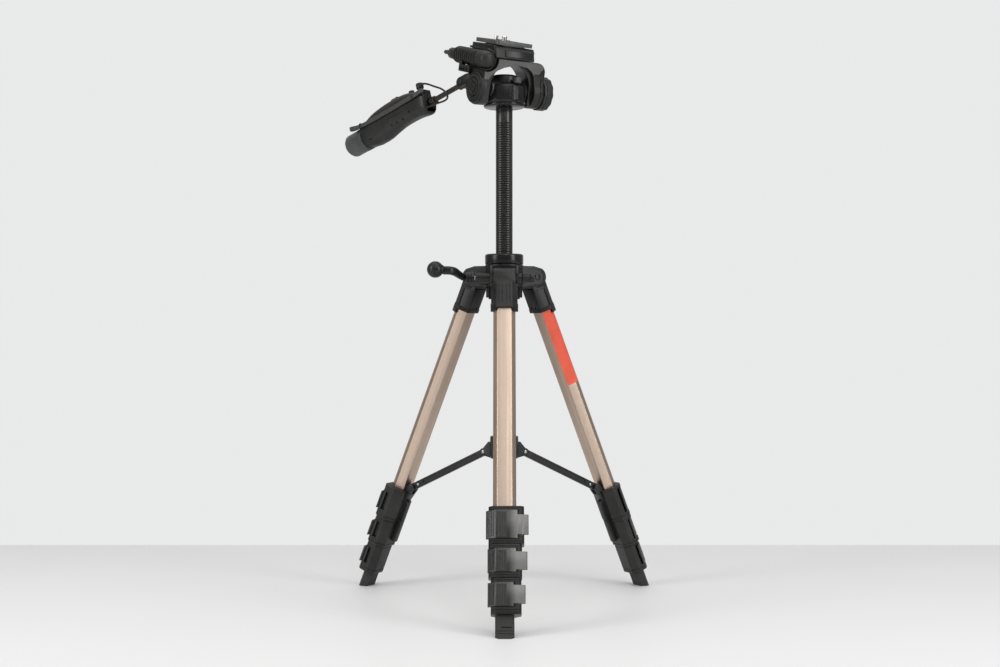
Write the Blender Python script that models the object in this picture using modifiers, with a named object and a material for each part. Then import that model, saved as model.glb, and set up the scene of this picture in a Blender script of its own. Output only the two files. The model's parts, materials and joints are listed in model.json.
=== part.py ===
"""Tripod with fluid head: a folding camera tripod with three four-section legs,
a geared centre column and a pan-and-tilt head with a remote-control pan handle.

Metres, +Z up, one leg to the front (-Y), +X to the right. The legs stand open,
every section is pushed in and the column is raised. Dimensions are written in
millimetres and scaled where meshes and matrices are made.
"""

import math
from collections import namedtuple

import bmesh
import bpy
from mathutils import Matrix, Vector

MM = 0.001

# ---------------------------------------------------------------- dimensions
# The column's axis: it centres the whole tripod's box on the origin in X and Y.
COLUMN_X, COLUMN_Y = 12.8338, 23.2588

# Legs. Places along a leg, ending in _T, are distances down from its pivot.
LEG_TURNS = {"front": 0.0, "right": 120.0, "left": 240.0}
LEG_PIVOT_R, LEG_PIVOT_Z = 36.2, 376.0
LEAN = math.radians(22.88)  # from vertical, legs fully open
WALL, SLIP = 1.0, 0.5  # tube wall, and the gap between nested tubes
STEP = WALL + SLIP
# The outer tube's outline, (x, y) in the leg's frame.
TUBE = [
    (-8, -9.25), (8, -9.25), (12.5, -2.6), (10, 8.0), (-10, 8.0), (-12.5, -2.6),
]
BORE_SLACK, SOCKET_SLACK = 0.4, 0.3  # how much larger a hole is than its outline
CAP_END_T = 42.0
FOOT_SPAN = (384.3, 411.5)
SLIDE_T = {2: 310, 3: 345, 4: 384}  # origins of the sliding sections' frames

# Flip locks: the collar's extent along the leg, its limits and the lever's in x,
# the x where the lever's tab starts, the extents of the lever and the tab along
# the leg, and the y of the collar's outward and inward faces.
Lock = namedtuple("Lock", "span collar_x lever_x tab_x lever_t tab_t front back")
LOCKS = {
    1: Lock(
        (270.0, 309.5), (-17.0, 20.5), (-20.0, 25.1), 13.4,
        (274.3, 304.5), (279.0, 299.5), -12.6, 12.0,
    ),
    2: Lock(
        (309.8, 344.5), (-17.0, 18.1), (-18.2, 23.6), 11.8,
        (313.5, 339.5), (317.8, 337.3), -12.2, 11.2,
    ),
    3: Lock(
        (344.8, 384.0), (-14.5, 17.3), (-18.0, 21.4), 9.0,
        (349.0, 376.0), (353.5, 373.0), -11.2, 10.0,
    ),
}
LEVER_THICK, LEVER_GAP = 3.2, 0.4

# Brace
STRUT_PIN_T, STRUT_PIN_IN = 267.6, 14.0
HUB_PIN_R, HUB_PIN_Z = 25.0, 172.0
STRUT_HALF_WIDTH, STRUT_EYE_R = 2.75, 4.0
GUIDE_R, GUIDE_BORE_R = 12.5, 10.3
GUIDE_SOCKET_R = GUIDE_R + 0.45

# Column, and its rack and pinion
COLUMN_R, COLUMN_LOW, COLUMN_TOP = 9.8, 358.0, 572.0
SPIGOT_R, SPIGOT_TOP = 6.0, 594.0
RACK_PITCH, RACK_FLOOR, RACK_FROM, RACK_TO = 2.7, 7.6, 362.0, 556.0
PINION_TEETH = 13
PINION_PITCH_R = PINION_TEETH * RACK_PITCH / (2 * math.pi)
SHAFT_Y, SHAFT_Z, SHAFT_R = -14.5, 374.0, 2.8
SHAFT_AT = (SHAFT_Y, SHAFT_Z)
CRANK_KNOB = (-78.5, -36.0, 383.0)
CRANK_KNOB_R = 9.5

# Head
HEAD_YAW, HEAD_Z, TILT = 31.0, 593.0, 14.6
CHEEK_R = 19.5
TILT_SHAFT_R = 6.0
SIDE_AXIS_X, SIDE_AXIS_Z = -34.7, 33.0
SIDE_AXIS_AT = (SIDE_AXIS_X, SIDE_AXIS_Z)
SCREW_Y, VIDEO_PIN_Y = 14.6, 33.0
SHOE_TOP = 56.0

# Pan handle
HANDLE_FROM = (-46.0, 3.0, 602.0)
HANDLE_DIR = (-0.6935, 0.6694, -0.2639)
HANDLE_ROD_R = 3.1
GRIP_HALF_WIDTH = 13.5
GRIP_SPLIT_Z = 8.0
BUTTON_X, ROCKER_X = 88.5, 116
PLUG_AT = (70.0, 3.0)

# ---------------------------------------------------------------- the scene
for old in list(bpy.data.objects):
    bpy.data.objects.remove(old, do_unlink=True)

PARTS = bpy.data.collections.new("tripod_with_fluid_head")
AXES = bpy.data.collections.new("joint_axes")
for collection in (PARTS, AXES):
    bpy.context.scene.collection.children.link(collection)


def material(name, color, roughness, metallic=0.0):
    mat = bpy.data.materials.new(name)
    mat.use_nodes = True
    shader = mat.node_tree.nodes["Principled BSDF"]
    shader.inputs["Base Color"].default_value = (*color, 1)
    shader.inputs["Roughness"].default_value = roughness
    shader.inputs["Metallic"].default_value = metallic
    mat.diffuse_color = (*color, 1)
    return mat


CHAMPAGNE = material(
    "champagne_aluminium", color=(0.52, 0.42, 0.33), roughness=0.32, metallic=1.0
)
CASTING = material("satin_black_plastic", color=(0.020, 0.020, 0.021), roughness=0.38)
GREY = material("dark_grey_plastic", color=(0.060, 0.060, 0.062), roughness=0.42)
BLACK_METAL = material(
    "black_anodised_aluminium", color=(0.018, 0.018, 0.019), roughness=0.30, metallic=0.6
)
RUBBER = material("black_rubber", color=(0.015, 0.015, 0.015), roughness=0.75)
STEEL = material("bright_steel", color=(0.62, 0.61, 0.60), roughness=0.22, metallic=1.0)
CABLE = material("cable_sheath", color=(0.012, 0.012, 0.012), roughness=0.5)


# ---------------------------------------------------------------- modelling
def add(name, data):
    piece = bpy.data.objects.new(name, data)
    PARTS.objects.link(piece)
    return piece


def from_bmesh(name, bm):
    bmesh.ops.recalc_face_normals(bm, faces=bm.faces)
    mesh = bpy.data.meshes.new(name)
    bm.to_mesh(mesh)
    bm.free()
    return add(name, mesh)


def baked(piece):
    """The piece with its modifiers applied; a curve becomes a welded mesh."""
    graph = bpy.context.evaluated_depsgraph_get()
    graph.update()
    mesh = bpy.data.meshes.new_from_object(piece.evaluated_get(graph))
    is_curve = piece.type == "CURVE"
    bm = bmesh.new()
    bm.from_mesh(mesh)
    if is_curve:
        bmesh.ops.remove_doubles(bm, verts=bm.verts, dist=1e-6)
        bmesh.ops.recalc_face_normals(bm, faces=bm.faces)
    bm.to_mesh(mesh)
    bm.free()
    if is_curve:
        name = piece.name
        bpy.data.objects.remove(piece, do_unlink=True)
        return add(name, mesh)
    piece.modifiers.clear()
    piece.data = mesh
    return piece


def box(x, y, z, bevel=0.0):
    """A block between the limits x, y and z, each (low, high)."""
    bm = bmesh.new()
    bmesh.ops.create_cube(bm, size=1.0)
    for vert in bm.verts:
        vert.co = Vector(
            [(lo + hi) / 2 + c * (hi - lo) for c, (lo, hi) in zip(vert.co, (x, y, z))]
        ) * MM
    if bevel:
        bmesh.ops.bevel(
            bm, geom=bm.edges[:], offset=bevel * MM, segments=1,
            affect="EDGES", profile=0.5, clamp_overlap=True,
        )
    return from_bmesh("box", bm)


# Rotations that lay a solid made along Z on another axis.
LAID = {
    "X": Matrix.Rotation(math.pi / 2, 4, "Y"),
    "Y": Matrix.Rotation(-math.pi / 2, 4, "X"),
    "Z": Matrix.Identity(4),
}


def rod(radius, span, at=(0, 0), axis="Z", sides=20, bevel=0.0):
    """A cylinder along an axis, between the limits of span. at holds the two
    other coordinates, in X, Y, Z order."""
    lo, hi = span
    bm = bmesh.new()
    bmesh.ops.create_cone(
        bm, cap_ends=True, cap_tris=False, segments=sides, radius1=radius * MM,
        radius2=radius * MM, depth=(hi - lo) * MM,
    )
    if bevel:
        rims = [e for e in bm.edges if abs(e.verts[0].co.z - e.verts[1].co.z) < 1e-7]
        bmesh.ops.bevel(
            bm, geom=rims, offset=bevel * MM, segments=2, affect="EDGES", profile=0.5
        )
    mid = (lo + hi) / 2
    centre = {
        "X": (mid, at[0], at[1]), "Y": (at[0], mid, at[1]), "Z": (at[0], at[1], mid)
    }[axis]
    bmesh.ops.transform(bm, matrix=LAID[axis], verts=bm.verts)
    bmesh.ops.translate(bm, vec=Vector(centre) * MM, verts=bm.verts)
    return from_bmesh("rod", bm)


def ball(radius, centre):
    """A sphere with its poles on the X axis."""
    bm = bmesh.new()
    bmesh.ops.create_uvsphere(bm, u_segments=20, v_segments=12, radius=radius * MM)
    bmesh.ops.transform(bm, matrix=LAID["X"], verts=bm.verts)
    bmesh.ops.translate(bm, vec=Vector(centre) * MM, verts=bm.verts)
    return from_bmesh("ball", bm)


def add_polyline(curve, points):
    """A spline through points given in metres."""
    spline = curve.splines.new("POLY")
    spline.points.add(len(points) - 1)
    for target, point in zip(spline.points, points):
        target.co = (*point, 1)
    return spline


def plate(points, span, axis="Z", holes=()):
    """A flat outline filled and extruded along an axis between the limits of
    span. On Z the points are (x, y); on X they are (y, z); on Y, (x, z)."""
    lo, hi = span
    curve = bpy.data.curves.new("plate", "CURVE")
    curve.dimensions = "2D"
    curve.fill_mode = "BOTH"
    curve.extrude = (hi - lo) / 2 * MM
    for loop in (points, *holes):
        spline = add_polyline(curve, [(u * MM, v * MM, 0) for u, v in loop])
        spline.use_cyclic_u = True
    mid = (lo + hi) / 2 * MM
    stand = {
        "Z": Matrix.Translation((0, 0, mid)),
        "X": Matrix(((0, 0, 1, mid), (1, 0, 0, 0), (0, 1, 0, 0), (0, 0, 0, 1))),
        "Y": Matrix(((1, 0, 0, 0), (0, 0, -1, mid), (0, 1, 0, 0), (0, 0, 0, 1))),
    }[axis]
    return moved(baked(add("plate", curve)), stand)


def bevelled(piece, width, segments=1, angle=35):
    bevel = piece.modifiers.new("Bevel", "BEVEL")
    bevel.width = width * MM
    bevel.segments = segments
    bevel.limit_method = "ANGLE"
    bevel.angle_limit = math.radians(angle)
    return baked(piece)


def turned(profile, sides):
    """A profile of (radius, height) pairs, from the top down its outer side,
    turned about Z. One that starts off the axis is closed into a ring."""
    mesh = bpy.data.meshes.new("turned")
    points = [(radius * MM, 0, z * MM) for radius, z in profile]
    links = [(i, i + 1) for i in range(len(points) - 1)]
    if profile[0][0] > 0:
        links.append((len(points) - 1, 0))
    mesh.from_pydata(points, links, [])
    piece = add("turned", mesh)
    screw = piece.modifiers.new("Screw", "SCREW")
    screw.steps = screw.render_steps = sides
    screw.use_merge_vertices = True
    screw.merge_threshold = 1e-5
    return baked(piece)


def swept(points, radius):
    """A round wire or bar along points, with filled ends."""
    curve = bpy.data.curves.new("swept", "CURVE")
    curve.dimensions = "3D"
    curve.bevel_depth = radius * MM
    curve.bevel_resolution = 1
    curve.use_fill_caps = True
    add_polyline(curve, [Vector(point) * MM for point in points])
    return baked(add("swept", curve))


def smooth_path(points, steps):
    """Catmull-Rom points through the given ones."""
    p = [Vector(point) for point in points]
    p = [2 * p[0] - p[1], *p, 2 * p[-1] - p[-2]]
    path = []
    for i in range(1, len(p) - 2):
        for k in range(steps):
            t = k / steps
            path.append(
                0.5 * (
                    2 * p[i] + (p[i + 1] - p[i - 1]) * t
                    + (2 * p[i - 1] - 5 * p[i] + 4 * p[i + 1] - p[i + 2]) * t * t
                    + (3 * p[i] - p[i - 1] - 3 * p[i + 1] + p[i + 2]) * t ** 3
                )
            )
    return [tuple(point) for point in (*path, p[-2])]


def combined(piece, others, operation):
    for other in others:
        boolean = piece.modifiers.new(operation.title(), "BOOLEAN")
        boolean.operation = operation
        boolean.object = other
    piece = baked(piece)
    for other in others:
        bpy.data.objects.remove(other, do_unlink=True)
    return piece


def joined(piece, *others):
    return combined(piece, others, "UNION")


def cut(piece, *others):
    return combined(piece, others, "DIFFERENCE")


def moved(piece, matrix):
    piece.data.transform(matrix)
    return piece


def spun(piece, degrees):
    return moved(piece, Matrix.Rotation(math.radians(degrees), 4, "Z"))


def inset(points, depth):
    """A convex outline with each side moved inwards by depth."""
    sides = list(zip(points, points[1:] + points[:1]))
    area = sum(a[0] * b[1] - b[0] * a[1] for a, b in sides)
    sign = 1 if area > 0 else -1
    lines = []  # unit normal and offset of each moved side
    for a, b in sides:
        along_x, along_y = b[0] - a[0], b[1] - a[1]
        length = math.hypot(along_x, along_y)
        nx, ny = -along_y / length * sign, along_x / length * sign
        lines.append((nx, ny, nx * a[0] + ny * a[1] + depth))
    corners = []
    for (a1, b1, c1), (a2, b2, c2) in zip(lines[-1:] + lines[:-1], lines):
        det = a1 * b2 - a2 * b1
        corners.append(((c1 * b2 - c2 * b1) / det, (a1 * c2 - a2 * c1) / det))
    return corners


def circle(radius, centre, count):
    return [
        (
            centre[0] + radius * math.cos(2 * math.pi * k / count),
            centre[1] + radius * math.sin(2 * math.pi * k / count),
        )
        for k in range(count)
    ]


def arc(radius, centre, start, end, count):
    """Points from one angle to another, in degrees, both ends included."""
    angles = [math.radians(start + (end - start) * k / count) for k in range(count + 1)]
    return [
        (centre[0] + radius * math.cos(a), centre[1] + radius * math.sin(a))
        for a in angles
    ]


def capsule(start, end, radius):
    """The outline round two equal circles."""
    angle = math.degrees(math.atan2(end[1] - start[1], end[0] - start[0]))
    return (
        arc(radius, end, angle - 90, angle + 90, 6)
        + arc(radius, start, angle + 90, angle + 270, 6)
    )


def fluted(radius, centre_z=0.0):
    """A knob's (y, z) outline of 36 points, every third one 1 mm further in."""
    points = []
    for k in range(36):
        angle = 2 * math.pi * k / 36
        reach = radius if k % 3 else radius - 1.0
        points.append((reach * math.cos(angle), centre_z + reach * math.sin(angle)))
    return points


# ---------------------------------------------------------------- frames
# Each frame is an empty on a joint's axis. WORLD holds where it stands.
WORLD = {None: Matrix.Identity(4)}


def hang(item, parent, world):
    """Parents an object to a frame and stands it at a world matrix."""
    if parent:
        item.parent = bpy.data.objects[parent]
    item.matrix_basis = WORLD[parent].inverted() @ world


def frame(name, parent, world):
    empty = bpy.data.objects.new(name, None)
    empty.empty_display_size = 0.02
    AXES.objects.link(empty)
    WORLD[name] = world
    hang(empty, parent, world)
    return name


def place(piece, name, mat, parent, own):
    """Names a finished piece, gives it its material and hangs it on a frame.
    own is the world matrix of the frame its mesh was modelled in."""
    piece.name = piece.data.name = name
    piece.data.materials.clear()
    piece.data.materials.append(mat)
    piece.data.shade_smooth()
    piece.data.set_sharp_from_angle(angle=math.radians(32))
    hang(piece, parent, own)


def shift(x, y, z):
    return Matrix.Translation(Vector((x, y, z)) * MM)


def handle_frame():
    """x runs along the handle's rod, away from the head, y to the side and z
    upwards. The origin is the pin that carries the handle."""
    along = Vector(HANDLE_DIR).normalized()
    side = Vector((0, 0, 1)).cross(along).normalized()
    up = along.cross(side)
    rows = [(along[i], side[i], up[i], HANDLE_FROM[i] * MM) for i in range(3)]
    return BASE @ Matrix(rows + [(0, 0, 0, 1)])


# The column's axis at floor level
BASE = shift(COLUMN_X, COLUMN_Y, 0)
# The head: x along the tilt axis, +y to the rear and z up, with the origin where
# the tilt axis crosses the pan axis. TILTED is the same frame tilted.
HEAD = BASE @ shift(0, 0, HEAD_Z) @ Matrix.Rotation(math.radians(HEAD_YAW), 4, "Z")
TILTED = HEAD @ Matrix.Rotation(math.radians(TILT), 4, "X")
HANDLE = handle_frame()
HANDLE_IN_YOKE = TILTED.inverted() @ HANDLE


# ================================================================ LEG PIECES
# Modelled once, in the leg's own frame: the origin is the leg's pivot, x runs
# across the leg, +y towards the column and -z down along the leg.
def down(start_t, end_t):
    """The z limits of an extent along the leg."""
    return (-end_t, -start_t)


def nested(steps, slack=0.0):
    """The outline of a tube nested so many steps in, enlarged by slack."""
    return inset(TUBE, steps * STEP - slack)


def hinge_cap():
    """A socket over the tube's top, and a tongue between the shoulder's ears."""
    cap = plate(nested(0, 2.6), down(11.5, CAP_END_T))
    tongue = plate(
        [(-9.6, -14), (9.0, -14)] + arc(10.0, (0, 0), 0, 180, 10), (-12.8, 12.8), "X"
    )
    return cut(
        joined(cap, tongue),
        plate(nested(0, SOCKET_SLACK), down(15, CAP_END_T + 5)),
        rod(3.3, (-20, 20), axis="X", sides=16),
    )


def hinge_of(lock):
    """Where a lever's hinge pin stands, (x, y)."""
    return lock.collar_x[1] - 2.4, lock.front + 2.6


def lock_collar(lock, *extra):
    """A lock's collar: a chamfered block, recessed on its outward face for the
    lever and cut back at one corner so that the lever's tab can swing."""
    x0, x1 = lock.collar_x
    front, back = lock.front, lock.back
    block = plate(
        [
            (x0 + 4, front), (x1 - 3, front), (x1, front + 3), (x1, 2.5),
            (x1 - 6.5, back), (x0 + 6.5, back), (x0, 2.5), (x0, front + 4.5),
        ],
        down(*lock.span),
    )
    if extra:
        block = joined(block, *extra)
    hinge_x, hinge_y = hinge_of(lock)
    lever_z = down(lock.lever_t[0] - LEVER_GAP, lock.lever_t[1] + LEVER_GAP)
    tab_z = down(lock.tab_t[0] - LEVER_GAP, lock.tab_t[1] + LEVER_GAP)
    swing_y = hinge_y + lock.lever_x[1] - hinge_x + 0.6
    return cut(
        block,
        box((x0 - 5, lock.tab_x + 1.4), (-30, front + 2.0), lever_z),
        box((x0 - 5, x0 + 1.6), (-30, 1.0), lever_z),
        box((lock.tab_x, 40), (-30, front + 2.0), tab_z),
        box((hinge_x - 1.5, 40), (-30, swing_y), tab_z),
        rod(3.0, tab_z, (hinge_x, hinge_y), sides=16),
    )


def lock_lever(lock):
    """A flip lever: a plate over the leg's outward face, returned round its -x
    side, with a tab on the +x side that turns on a pin parallel to the leg."""
    x0 = lock.collar_x[0]
    left, right = lock.lever_x
    tab = lock.tab_x
    tab_from, tab_to = lock.tab_t
    hinge_x, hinge_y = hinge_of(lock)
    under = lock.front + 1.7
    face = under - LEVER_THICK
    lever = plate(
        [
            (tab, under), (x0 - 0.1, under), (x0 - 0.4, under + 0.3),
            (x0 - 0.4, 0.0), (left, 0.0), (left, face + 3.0), (left + 3.0, face),
            (tab, face),
        ],
        down(*lock.lever_t),
    )
    wing = plate(
        [
            (tab - 2, face + 0.05), (right - 2.2, face + 0.05),
            (right - 0.6, face + 0.7), (right, face + 2.2),
            (right, hinge_y - 1.0), (right - 1.2, hinge_y + 0.2),
            (hinge_x, hinge_y + 0.2), (hinge_x - 2.0, under - 0.05),
            (tab - 2, under - 0.05),
        ],
        down(tab_from, tab_to),
    )
    knuckle = rod(2.6, down(tab_from + 0.05, tab_to - 0.05), (hinge_x, hinge_y), sides=16)
    bore = rod(1.4, down(tab_from - 5, tab_to + 5), (hinge_x, hinge_y), sides=12)
    return cut(joined(lever, wing, knuckle), bore)


def lock_pin(lock):
    start, end = lock.tab_t
    return rod(1.1, down(start - 2, end + 2), hinge_of(lock), sides=12)


def collar_1():
    """The collar on the outer tube, with the lug that carries the brace strut
    and a fin that runs down behind the next lock."""
    lug = plate(
        [(9.9, -284), (13.5, -284), (18.5, -STRUT_PIN_T - 2)]
        + arc(4.6, (STRUT_PIN_IN, -STRUT_PIN_T), -10, 190, 8) + [(9.9, -272)],
        (-6.2, 6.2), "X",
    )
    fin = box((-3.4, 3.4), (11.6, 17.6), down(284, 338), 0.8)
    fin_root = box((-3.4, 3.4), (10.0, 17.6), down(282, 307), 0.8)
    collar = cut(
        lock_collar(LOCKS[1], lug, fin_root, fin),
        plate(nested(0, SOCKET_SLACK), down(255, 290)),
        plate(nested(1, BORE_SLACK), down(289, 309.6)),
        # the strut's slot, and room for the next collar inside the fin
        box((-3.2, 3.2), (9.0, 24), down(255, 274.6)),
        box((-8, 8), (8, 12.0), down(309.4, 345)),
    )
    strut_pin = rod(1.7, (-6.0, 6.0), (STRUT_PIN_IN, -STRUT_PIN_T), "X", 12)
    return joined(collar, lock_pin(LOCKS[1]), strut_pin)


def section(number, tube_t, bore_end_t):
    """A middle section: its tube, with its lock's collar at the lower end."""
    lock = LOCKS[number]
    tube = joined(plate(nested(number - 1), down(*tube_t)), lock_collar(lock))
    tube = cut(tube, plate(nested(number, BORE_SLACK), down(10, bore_end_t)))
    return joined(tube, lock_pin(lock))


def tube_4():
    return plate(nested(3), down(24, 391.5), holes=[inset(TUBE, 3 * STEP + WALL)])


def foot():
    """A socket over the last tube, rounded below and cut level with the floor."""
    block = bevelled(plate(nested(2, SOCKET_SLACK), down(*FOOT_SPAN)), 1.6)
    below_floor = moved(
        box((-40, 40), (-260, -140), (-40, 0)),
        Matrix.Rotation(LEAN, 4, "X") @ shift(0, LEG_PIVOT_R, -LEG_PIVOT_Z),
    )
    return cut(block, below_floor, plate(nested(3, SOCKET_SLACK), down(380, 391.8)))


def strut():
    """The brace strut, from its pin on the leg to its place at the hub with the
    legs open."""
    pin_r = LEG_PIVOT_R + STRUT_PIN_T * math.sin(LEAN) - STRUT_PIN_IN * math.cos(LEAN)
    pin_z = LEG_PIVOT_Z - STRUT_PIN_T * math.cos(LEAN) - STRUT_PIN_IN * math.sin(LEAN)
    rise = math.atan2(HUB_PIN_Z - pin_z, pin_r - HUB_PIN_R) + LEAN
    length = math.hypot(HUB_PIN_Z - pin_z, pin_r - HUB_PIN_R)
    leg_end = (STRUT_PIN_IN, -STRUT_PIN_T)
    hub_end = (
        leg_end[0] + length * math.cos(rise), leg_end[1] + length * math.sin(rise)
    )
    return plate(
        capsule(leg_end, hub_end, STRUT_EYE_R), (-STRUT_HALF_WIDTH, STRUT_HALF_WIDTH),
        "X", holes=[circle(2.0, leg_end, 12)],
    )


def leg_frames(side, home):
    """One leg's frames; returns the name of the frame that carries each piece."""
    fold = frame(f"{side}_leg_fold_axis", "tripod_origin", home)
    carriers = {1: fold}
    for k in (2, 3, 4):
        carriers[k] = frame(
            f"{side}_section_{k}_slide", carriers[k - 1], home @ shift(0, 0, -SLIDE_T[k])
        )
    on = {
        "hinge_cap": fold, "tube_1": fold, "collar_1": fold,
        "section_2": carriers[2], "section_3": carriers[3],
        "tube_4": carriers[4], "foot": carriers[4],
    }
    for k, lock in LOCKS.items():
        hinge_x, hinge_y = hinge_of(lock)
        on[f"lever_{k}"] = frame(
            f"{side}_lever_{k}_axis", carriers[k],
            home @ shift(hinge_x, hinge_y, -sum(lock.lever_t) / 2),
        )
    on["strut"] = frame(
        f"{side}_strut_axis", fold, home @ shift(0, STRUT_PIN_IN, -STRUT_PIN_T)
    )
    return on


def build_legs():
    """Makes the leg's pieces once; the other legs share their meshes."""
    pieces = {
        "hinge_cap": (hinge_cap(), CASTING),
        "tube_1": (plate(TUBE, down(15.4, 288), holes=[inset(TUBE, WALL)]), CHAMPAGNE),
        "collar_1": (collar_1(), CASTING),
        "lever_1": (lock_lever(LOCKS[1]), GREY),
        "section_2": (section(2, (18, 330), 360), CASTING),
        "lever_2": (lock_lever(LOCKS[2]), GREY),
        "section_3": (section(3, (21, 370), 400), CASTING),
        "lever_3": (lock_lever(LOCKS[3]), GREY),
        "tube_4": (tube_4(), CHAMPAGNE),
        "foot": (foot(), RUBBER),
        "strut": (strut(), CASTING),
    }
    for side, turn in LEG_TURNS.items():
        home = (
            BASE
            @ Matrix.Rotation(math.radians(turn), 4, "Z")
            @ shift(0, -LEG_PIVOT_R, LEG_PIVOT_Z)
            @ Matrix.Rotation(-LEAN, 4, "X")
        )
        on = leg_frames(side, home)
        for name, (piece, mat) in pieces.items():
            if side == "front":
                place(piece, f"front_{name}", mat, on[name], home)
            else:
                hang(add(f"{side}_{name}", piece.data), on[name], home)


# ================================================================ SHOULDER
# Modelled about the column's axis, with the floor at z = 0.
def shoulder_casting():
    """The body with its sleeve, three forked arms and the shaft's boss."""
    arms, slots, pins = [], [], []
    arm_side = (
        [(-5, 364.7), (-33, 364.7)]
        + arc(11.3, (-LEG_PIVOT_R, LEG_PIVOT_Z), 255, 120, 8)
        + [(-31, 388.5), (-5, 388.5)]
    )
    for turn in LEG_TURNS.values():
        arms.append(spun(plate(arm_side, (-16, 16), "X"), turn))
        slots.append(spun(box((-13.2, 13.2), (-60, -24.0), (340, 386.4)), turn))
        pin = rod(2.9, (-15.0, 15.0), (-LEG_PIVOT_R, LEG_PIVOT_Z), "X", 16)
        pins.append(spun(pin, turn))
    casting = joined(
        rod(22.2, (364.7, 390), sides=28),
        rod(18.2, (350, 366), sides=28),
        rod(6.0, (-33.5, 20.1), SHAFT_AT, "X", 20),
        *arms,
    )
    casting = cut(
        casting, *slots,
        rod(10.4, (340, 400), sides=24),
        rod(GUIDE_SOCKET_R, (340, 366), sides=24),
        rod(3.2, (-50, 30), SHAFT_AT, "X", 16),
        # room for the pinion
        box((-4.4, 4.4), (SHAFT_Y - 6.6, -5), (SHAFT_Z - 6.7, SHAFT_Z + 6.7)),
    )
    return joined(casting, *pins)


def column_collar():
    """A ring on top of the shoulder."""
    return turned(
        [
            (10.4, 402.2), (20.6, 402.2), (21.8, 401.6), (22.3, 400.4), (22.3, 390.6),
            (22.0, 390.3), (10.4, 390.3),
        ],
        28,
    )


def guide_tube():
    """The tube below the shoulder, which the brace hub slides on."""
    top, low = 365.6, 166.2
    return turned([(GUIDE_BORE_R, top), (GUIDE_R, top), (GUIDE_R, low), (GUIDE_BORE_R, low)], 24)


def brace_hub():
    """A ring with a slotted lug for each strut."""
    lugs, gaps = [], []
    lug_side = (
        [(-10, 165)] + arc(4.2, (-HUB_PIN_R, HUB_PIN_Z), 250, 90, 8)
        + [(-18, 184), (-10, 184)]
    )
    for turn in LEG_TURNS.values():
        lugs.append(spun(plate(lug_side, (-6.6, 6.6), "X"), turn))
        gaps.append(spun(box((-3.5, 3.5), (-40, -9), (167.7, 200)), turn))
        gaps.append(spun(box((-3.5, 3.5), (-40, -18.4), (160, 170)), turn))
    ring = joined(rod(16.4, (165, 191), sides=24), *lugs)
    return cut(ring, rod(GUIDE_SOCKET_R, (160, 200), sides=24), *gaps)


# ================================================================ COLUMN
def rack_cutter():
    """A comb that cuts the rack's notches in the front of the column."""
    face, outside = -9.95, -14
    teeth = int((RACK_TO - RACK_FROM) / RACK_PITCH)
    # A tooth faces the pinion's shaft, so the notches lie half a pitch from it.
    first = SHAFT_Z + RACK_PITCH * (math.ceil((RACK_FROM - SHAFT_Z) / RACK_PITCH) + 0.5)
    top = first + teeth * RACK_PITCH + 1
    comb = [(outside, first - 3), (outside, top), (face, top)]
    for k in reversed(range(teeth)):
        z = first + k * RACK_PITCH
        comb += [
            (face, z + 0.95), (-RACK_FLOOR, z + 0.62), (-RACK_FLOOR, z - 0.62),
            (face, z - 0.95),
        ]
    comb.append((face, first - 3))
    return plate(comb, (-7.5, 7.5), "X")


def centre_column():
    """A tube with a rack in front and a spigot on top for the head."""
    column = joined(
        rod(COLUMN_R, (COLUMN_LOW, COLUMN_TOP), sides=20),
        rod(SPIGOT_R, (COLUMN_TOP - 6, SPIGOT_TOP), sides=20),
    )
    return cut(column, rack_cutter(), rod(6.2, (COLUMN_LOW - 5, 560), sides=16))


def crank_shaft():
    """The shaft, with a pinion that meshes with the column's rack."""
    root, tip = PINION_PITCH_R - 1.1, PINION_PITCH_R + 0.6
    half_root, half_tip = 0.62 / root, 0.33 / tip
    tooth = ((root, -half_root), (tip, -half_tip), (tip, half_tip), (root, half_root))
    outline = []
    for k in range(PINION_TEETH):
        middle = math.pi + 2 * math.pi * (k + 0.5) / PINION_TEETH
        for radius, swing in tooth:
            outline.append((
                SHAFT_Y - radius * math.cos(middle + swing),
                SHAFT_Z + radius * math.sin(middle + swing),
            ))
    pinion = plate(outline, (-4.0, 4.0), "X")
    return joined(rod(SHAFT_R, (-45.5, 10.0), SHAFT_AT, "X", 16), pinion)


def crank_arm():
    """A bent bar from the shaft's left end to the knob."""
    _, knob_y, knob_z = CRANK_KNOB
    path = [
        (-40, SHAFT_Y, SHAFT_Z), (-47, SHAFT_Y - 1.5, SHAFT_Z + 0.6),
        (-53, SHAFT_Y - 9, SHAFT_Z + 4.5), (-59, -33, knob_z - 0.8),
        (-66, knob_y, knob_z), (-76, knob_y, knob_z),
    ]
    arm = joined(
        swept(smooth_path(path, 3), 2.7),
        rod(5.2, (-44.5, -34.2), SHAFT_AT, "X", 20, bevel=0.6),
    )
    return cut(arm, rod(3.1, (-60, -30), SHAFT_AT, "X", 16))


def crank_knob():
    knob_x = CRANK_KNOB[0]
    return cut(
        ball(CRANK_KNOB_R, CRANK_KNOB),
        rod(3.1, (knob_x - 1, knob_x + 20), CRANK_KNOB[1:], "X", 16),
    )


def column_lock_knob():
    """A knob on the right, in line with the crank's shaft."""
    return joined(
        rod(5.0, (20.5, 35.0), SHAFT_AT, "X", 20, bevel=0.6),
        rod(2.8, (10.6, 22), SHAFT_AT, "X", 16),
    )


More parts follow.
